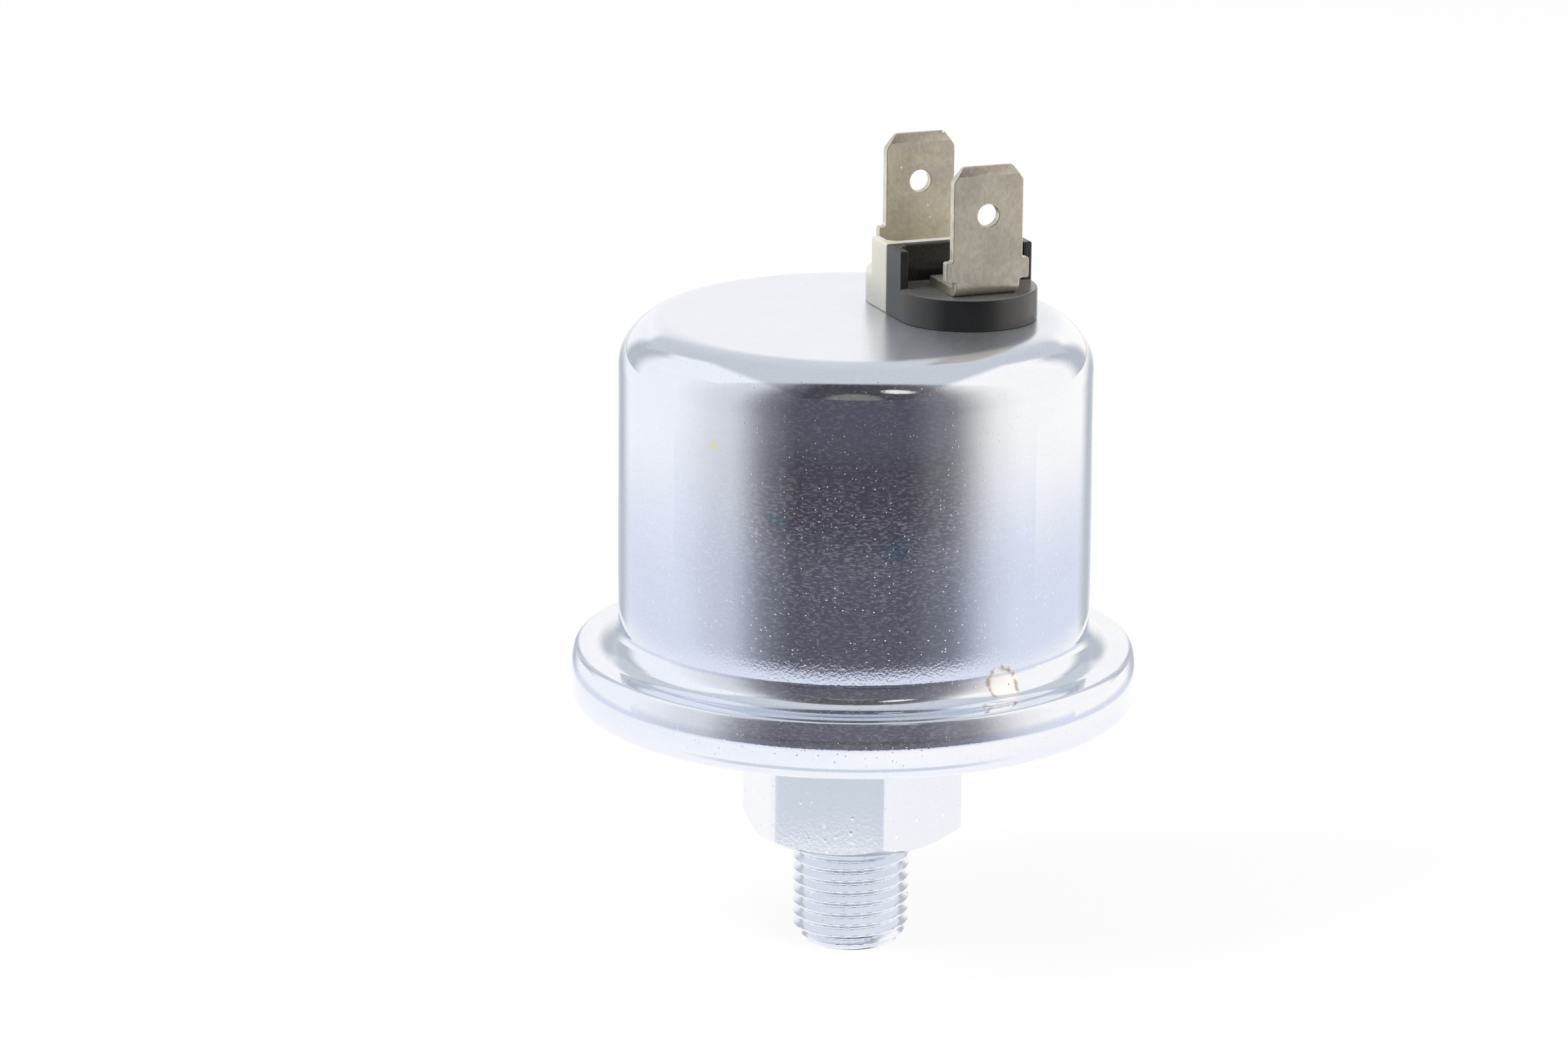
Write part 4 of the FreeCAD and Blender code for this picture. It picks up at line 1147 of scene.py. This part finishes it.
# %% [markdown]
# ### The floor
#
# The floor is white paper, and a diffuse floor that is partly lit from inside comes out white but still
# takes a soft shadow. What the metal mirrors is another matter: it sees a floor that is bright near the
# sensor and has a ring further out where less light falls. Is Glossy Ray tells the two apart.

# %% The floor
own_share = 0.72
own_strength = 1.06


def plain_material(name):
    """An empty material: its tree helper, and the material itself."""
    material = bpy.data.materials.new(name)
    material.use_nodes = True
    material.node_tree.nodes.clear()
    return NodeTree(material.node_tree), material


def emission(t, colour, strength=1.0):
    made = t.node("ShaderNodeEmission")
    t.put_colour(made.inputs["Color"], colour)
    made.inputs["Strength"].default_value = strength
    return made.outputs[0]


def mix_shader(t, factor, first, second):
    made = t.node("ShaderNodeMixShader")
    t.put(made.inputs[0], factor)
    t.link(first, made.inputs[1])
    t.link(second, made.inputs[2])
    return made.outputs[0]


def floor_material():
    """White, with a soft shadow. Reflections see a ring on it where less light falls."""
    t, material = plain_material("white floor")
    path = t.node("ShaderNodeLightPath").outputs
    place = split_place(t)
    away = t.distance(place[0], place[1])
    ring = t.times(t.ramp(away, 0.100, 0.118, smooth=True), t.ramp(away, 0.20, 0.13, smooth=True))
    to_right = t.vector("DOT_PRODUCT", object_place(t), across)["Value"]
    side = t.ramp(to_right, -0.05, 0.05, smooth=True)
    white = mix_colour(t, side, TENT_LEFT, TENT_RIGHT)
    white = mix_colour(t, t.ramp(away, 0.10, 0.07, smooth=True), white, NEAR_FLOOR)
    mirrored = emission(t, mix_colour(t, ring, white, FAR_FLOOR))
    paper = t.node("ShaderNodeBsdfDiffuse")
    t.put_colour(paper.inputs["Color"], PAPER)
    own_light = t.times(t.math("MAXIMUM", path["Is Camera Ray"], path["Is Transmission Ray"]), own_share)
    surface = mix_shader(t, own_light, paper.outputs[0], emission(t, WHITE, own_strength))
    surface = mix_shader(t, path["Is Glossy Ray"], surface, mirrored)
    t.link(surface, t.node("ShaderNodeOutputMaterial").inputs[0])
    return material


floor_half = 3.0
corners = [(x, y, floor_level) for x, y in ((-floor_half, -floor_half), (floor_half, -floor_half),
                                            (floor_half, floor_half), (-floor_half, floor_half))]
floor = make_piece("floor", corners, [(0, 1, 2, 3)])
floor.data.materials.append(floor_material())
print("studio: floor at %.1f mm" % (floor_level / MM))

# %% [markdown]
# ### The world
#
# The world shows the tent to reflections alone. To the camera it is white, and to the rest an even
# light. A direction is told by its angle round the sensor and its angle above the horizon. The roof is a
# panel that widens behind the sensor, and the tent's far corners are greyer. In the opening there are
# two lit patches: a dim one straight ahead and a small warm one on its right.

# %% The world
world = bpy.data.worlds.new("light tent")
scene.world = world
world.use_nodes = True
world.node_tree.nodes.clear()
w = NodeTree(world.node_tree)
rays = w.node("ShaderNodeLightPath").outputs
direction = w.node("ShaderNodeTexCoord").outputs["Generated"]
front, sideways, up = [w.vector("DOT_PRODUCT", direction, axis)["Value"]
                       for axis in (toward_camera, across, (0, 0, 1))]
azimuth = w.math("DEGREES", w.math("ARCTAN2", sideways, front))
height = w.math("DEGREES", w.math("ARCTAN2", up, front))
steep = w.math("MAXIMUM", up, 0.001)
roof_middle, roof_half, roof_widening = 0.55, 0.62, 0.65


def patch(at_azimuth, at_height, half_wide, half_high, softness):
    """A mask of an ellipse in the opening."""
    x = w.math("DIVIDE", w.math("SUBTRACT", azimuth, at_azimuth), half_wide)
    y = w.math("DIVIDE", w.math("SUBTRACT", height, at_height), half_high)
    return w.ramp(w.distance(x, y), 1.0 + softness, 1.0 - softness, smooth=True)


opening = w.times(opening_share(w, azimuth), w.ramp(height, 78.0, 71.0, smooth=True))
back_there = w.math("DIVIDE", w.times(front, -1.0), steep)
behind = w.math("MAXIMUM", w.math("SUBTRACT", back_there, roof_middle), 0.0)
half_width = w.add(w.times(behind, roof_widening), roof_half)
beyond = w.math("SUBTRACT", w.math("ABSOLUTE", w.math("DIVIDE", sideways, steep)), half_width)
roof = w.times(w.ramp(beyond, 0.12, -0.05, smooth=True), w.ramp(height, 158.0, 152.0, smooth=True))
aside = w.math("ABSOLUTE", azimuth)
corner = w.times(w.ramp(aside, 124.0, 138.0, smooth=True), w.ramp(aside, 156.0, 146.0, smooth=True),
                 w.ramp(up, 0.62, 0.50, smooth=True))
white = mix_colour(w, w.ramp(sideways, -0.5, 0.5, smooth=True), TENT_LEFT, TENT_RIGHT)
tent = mix_colour(w, roof, mix_colour(w, corner, white, SEAM), ROOF)
inside = mix_colour(w, patch(-1.0, 39.0, 15.0, 11.0, 0.25), OPENING, GLOW)
inside = mix_colour(w, patch(27.0, 56.0, 9.0, 4.5, 0.4), inside, HOT)
tent = mix_colour(w, opening, tent, inside)
tent = mix_colour(w, rays["Is Glossy Ray"], EVEN_LIGHT, tent)
plain_view = w.math("MAXIMUM", rays["Is Camera Ray"], rays["Is Transmission Ray"])
backdrop = w.node("ShaderNodeBackground")
w.link(mix_colour(w, plain_view, tent, WHITE), backdrop.inputs["Color"])
w.link(backdrop.outputs[0], w.node("ShaderNodeOutputWorld").inputs[0])
print("world: nodes in its tree", len(w.tree.nodes))

# %% [markdown]
# ### The cards
#
# Below the horizon the can's wall mirrors the floor, so an upright card carries the dark opening down to
# it. Smaller cards bring the tent's seams and the shade at its foot close to the metal. They are seen in
# reflections only: they light nothing and cast no shadow.

# %% A curved card
def curved_card(name, radius, start, end, low, high, material, steps=48):
    """An upright strip on a circle round the axis, by angles from the camera's side in degrees."""
    verts, faces = [], []
    for k in range(steps + 1):
        a = math.radians(start + (end - start) * k / steps)
        out = (toward_camera * math.cos(a) + across * math.sin(a)) * radius
        verts += [(out.x, out.y, low), (out.x, out.y, high)]
    for k in range(steps):
        faces.append((2 * k, 2 * k + 2, 2 * k + 3, 2 * k + 1))
    mesh = bpy.data.meshes.new(name)
    mesh.from_pydata(verts, [], faces)
    uv = mesh.uv_layers.new(name="UVMap")
    for loop in mesh.loops:
        uv.data[loop.index].uv = ((loop.vertex_index // 2) / steps, loop.vertex_index % 2)
    piece = bpy.data.objects.new(name, mesh)
    scene.collection.objects.link(piece)
    piece.data.materials.append(material)
    piece.visible_camera = False
    piece.visible_diffuse = False
    piece.visible_transmission = False
    piece.visible_shadow = False
    print("%s: %.0f degrees wide, %.0f mm high" % (name, end - start, (high - low) / MM))
    return piece


# %% [markdown]
# The opening's card stands close to the sensor, where the same spread of the tent takes up a slightly
# smaller angle. Its UV map runs from 0 to 1 both ways, and the shader turns that back into degrees and
# millimetres. The opening is a little paler close to the floor, and again from 12 mm up.

# %% The opening's card
nearer = 0.93
card_r = 0.114
card_reach = 90.0
card_foot = floor_level + 1.2 * MM
card_top = 110.0 * MM


def card_place(t):
    """X and Y of the card's UV map."""
    return t.split(t.node("ShaderNodeTexCoord").outputs["UV"])


def opening_card_material():
    """The dark opening with its soft sides, and white beside them."""
    t, material = plain_material("tent opening")
    place = card_place(t)
    azimuth = t.ramp(place[0], 0.0, 1.0, -card_reach / nearer, card_reach / nearer)
    z = t.ramp(place[1], 0.0, 1.0, card_foot / MM, card_top / MM)
    paler = t.add(t.ramp(z, 7.5, 1.5, 0.0, 0.75, smooth=True), t.ramp(z, 12.0, 15.0, 0.0, 0.6, smooth=True))
    dark = mix_colour(t, paler, OPENING, OPENING_PALER)
    white = mix_colour(t, t.ramp(azimuth, -30.0, 30.0, smooth=True), TENT_LEFT, TENT_RIGHT)
    beside = mix_colour(t, t.ramp(z, 16.5, -2.0, smooth=True), white, FAR_FLOOR)
    light = emission(t, mix_colour(t, opening_share(t, azimuth), beside, dark))
    t.link(light, t.node("ShaderNodeOutputMaterial").inputs[0])
    return material


dark_card = opening_card_material()
curved_card("opening_card", card_r, -card_reach, card_reach, card_foot, card_top, dark_card, 96)

# %% [markdown]
# The seams and the shade have no hard border in the tent, so their cards fade out over the sides and
# over the top.

# %% The seams and the shade at the floor
def fading_material(name, shade, side, top):
    """One shade that fades out over the sides and the top, given as parts of the card."""
    t, material = plain_material(name)
    place = card_place(t)
    solid = t.times(t.ramp(place[0], 0.0, side, smooth=True), t.ramp(place[0], 1.0, 1.0 - side, smooth=True),
                    t.ramp(place[1], 1.0, 1.0 - top, smooth=True))
    clear = t.node("ShaderNodeBsdfTransparent").outputs[0]
    t.link(mix_shader(t, solid, clear, emission(t, shade)), t.node("ShaderNodeOutputMaterial").inputs[0])
    return material


seam_r = 0.062
seam_low, seam_high = 0.004, 0.046
shade_r = 0.040
shade_top = 0.0045
seam = fading_material("tent seam", SEAM, 0.45, 0.3)
curved_card("left_seam_card", seam_r, -156, -122, seam_low, seam_high, seam)
curved_card("right_seam_card", seam_r, 120, 154, seam_low, seam_high, seam)
shade_card = fading_material("floor shade", FLOOR_SHADE, 0.25, 0.2)
curved_card("floor_shade_card", shade_r, -60, 56, floor_level, shade_top, shade_card)

# %% [markdown]
# ### The lamps
#
# Two large round lamps stand in for the tent's own light and give the soft shadow. They stay out of
# reflections, because the world already shows the tent there.

# %% The lamps
LAMP_AIM = Vector((0, 0, 0.02))
LAMP_SIZE = 0.5


def lamp(name, at, power):
    data = bpy.data.lights.new(name, "AREA")
    data.shape = "DISK"
    data.size = LAMP_SIZE
    data.energy = power
    made = bpy.data.objects.new(name, data)
    scene.collection.objects.link(made)
    made.visible_glossy = False
    made.location = at
    made.rotation_mode = "QUATERNION"
    made.rotation_quaternion = (LAMP_AIM - at).to_track_quat("-Z", "Y")
    print("%s lamp: %.1f W, %.2f m away" % (name, power, made.location.length))


lamp("key", toward_camera * 0.25 - across * 0.55 + Vector((0, 0, 0.55)), 3.0)
lamp("fill", toward_camera * 0.35 + across * 0.55 + Vector((0, 0, 0.40)), 2.0)

# %% [markdown]
# ## The camera
#
# The photo looks slightly down on the sensor, from half a metre, with a long lens. The aim isn't the
# frame's middle: the camera is turned until the flange's centre lies where the photo has it.

# %% The camera
ELEVATION = 16.5
DISTANCE = 0.500
PHOTO_WIDTH = 2352.0
SENSOR_WIDTH = 36.0
FOCAL_PIXELS = 8750.0
ROLL = 0.6
AIM = Vector((0, 0, 0.0165))
AIM_PIXEL = (104.0, 182.0)
camera_data = bpy.data.cameras.new("camera")
camera_data.lens = FOCAL_PIXELS * SENSOR_WIDTH / PHOTO_WIDTH
camera_data.sensor_width = SENSOR_WIDTH
camera_data.sensor_fit = "HORIZONTAL"
camera_data.clip_start = 0.01
camera_data.clip_end = 20.0
camera = bpy.data.objects.new("camera", camera_data)
scene.collection.objects.link(camera)
scene.camera = camera
tilt = math.radians(ELEVATION)
back = toward_camera * math.cos(tilt) + Vector((0, 0, math.sin(tilt)))
straight = (-back).to_track_quat("-Z", "Y")
ahead = Vector((AIM_PIXEL[0], -AIM_PIXEL[1], -FOCAL_PIXELS)).normalized()
off_centre = ahead.rotation_difference(Vector((0, 0, -1)))
roll = Matrix.Rotation(math.radians(ROLL), 4, "Z").to_quaternion()
camera.rotation_mode = "QUATERNION"
camera.location = AIM + back * DISTANCE
camera.rotation_quaternion = straight @ roll @ off_centre
print("camera: lens %.1f mm" % camera_data.lens)

# %% [markdown]
# ## The end
#
# The smooth pieces must not grow past the solids that they replace.
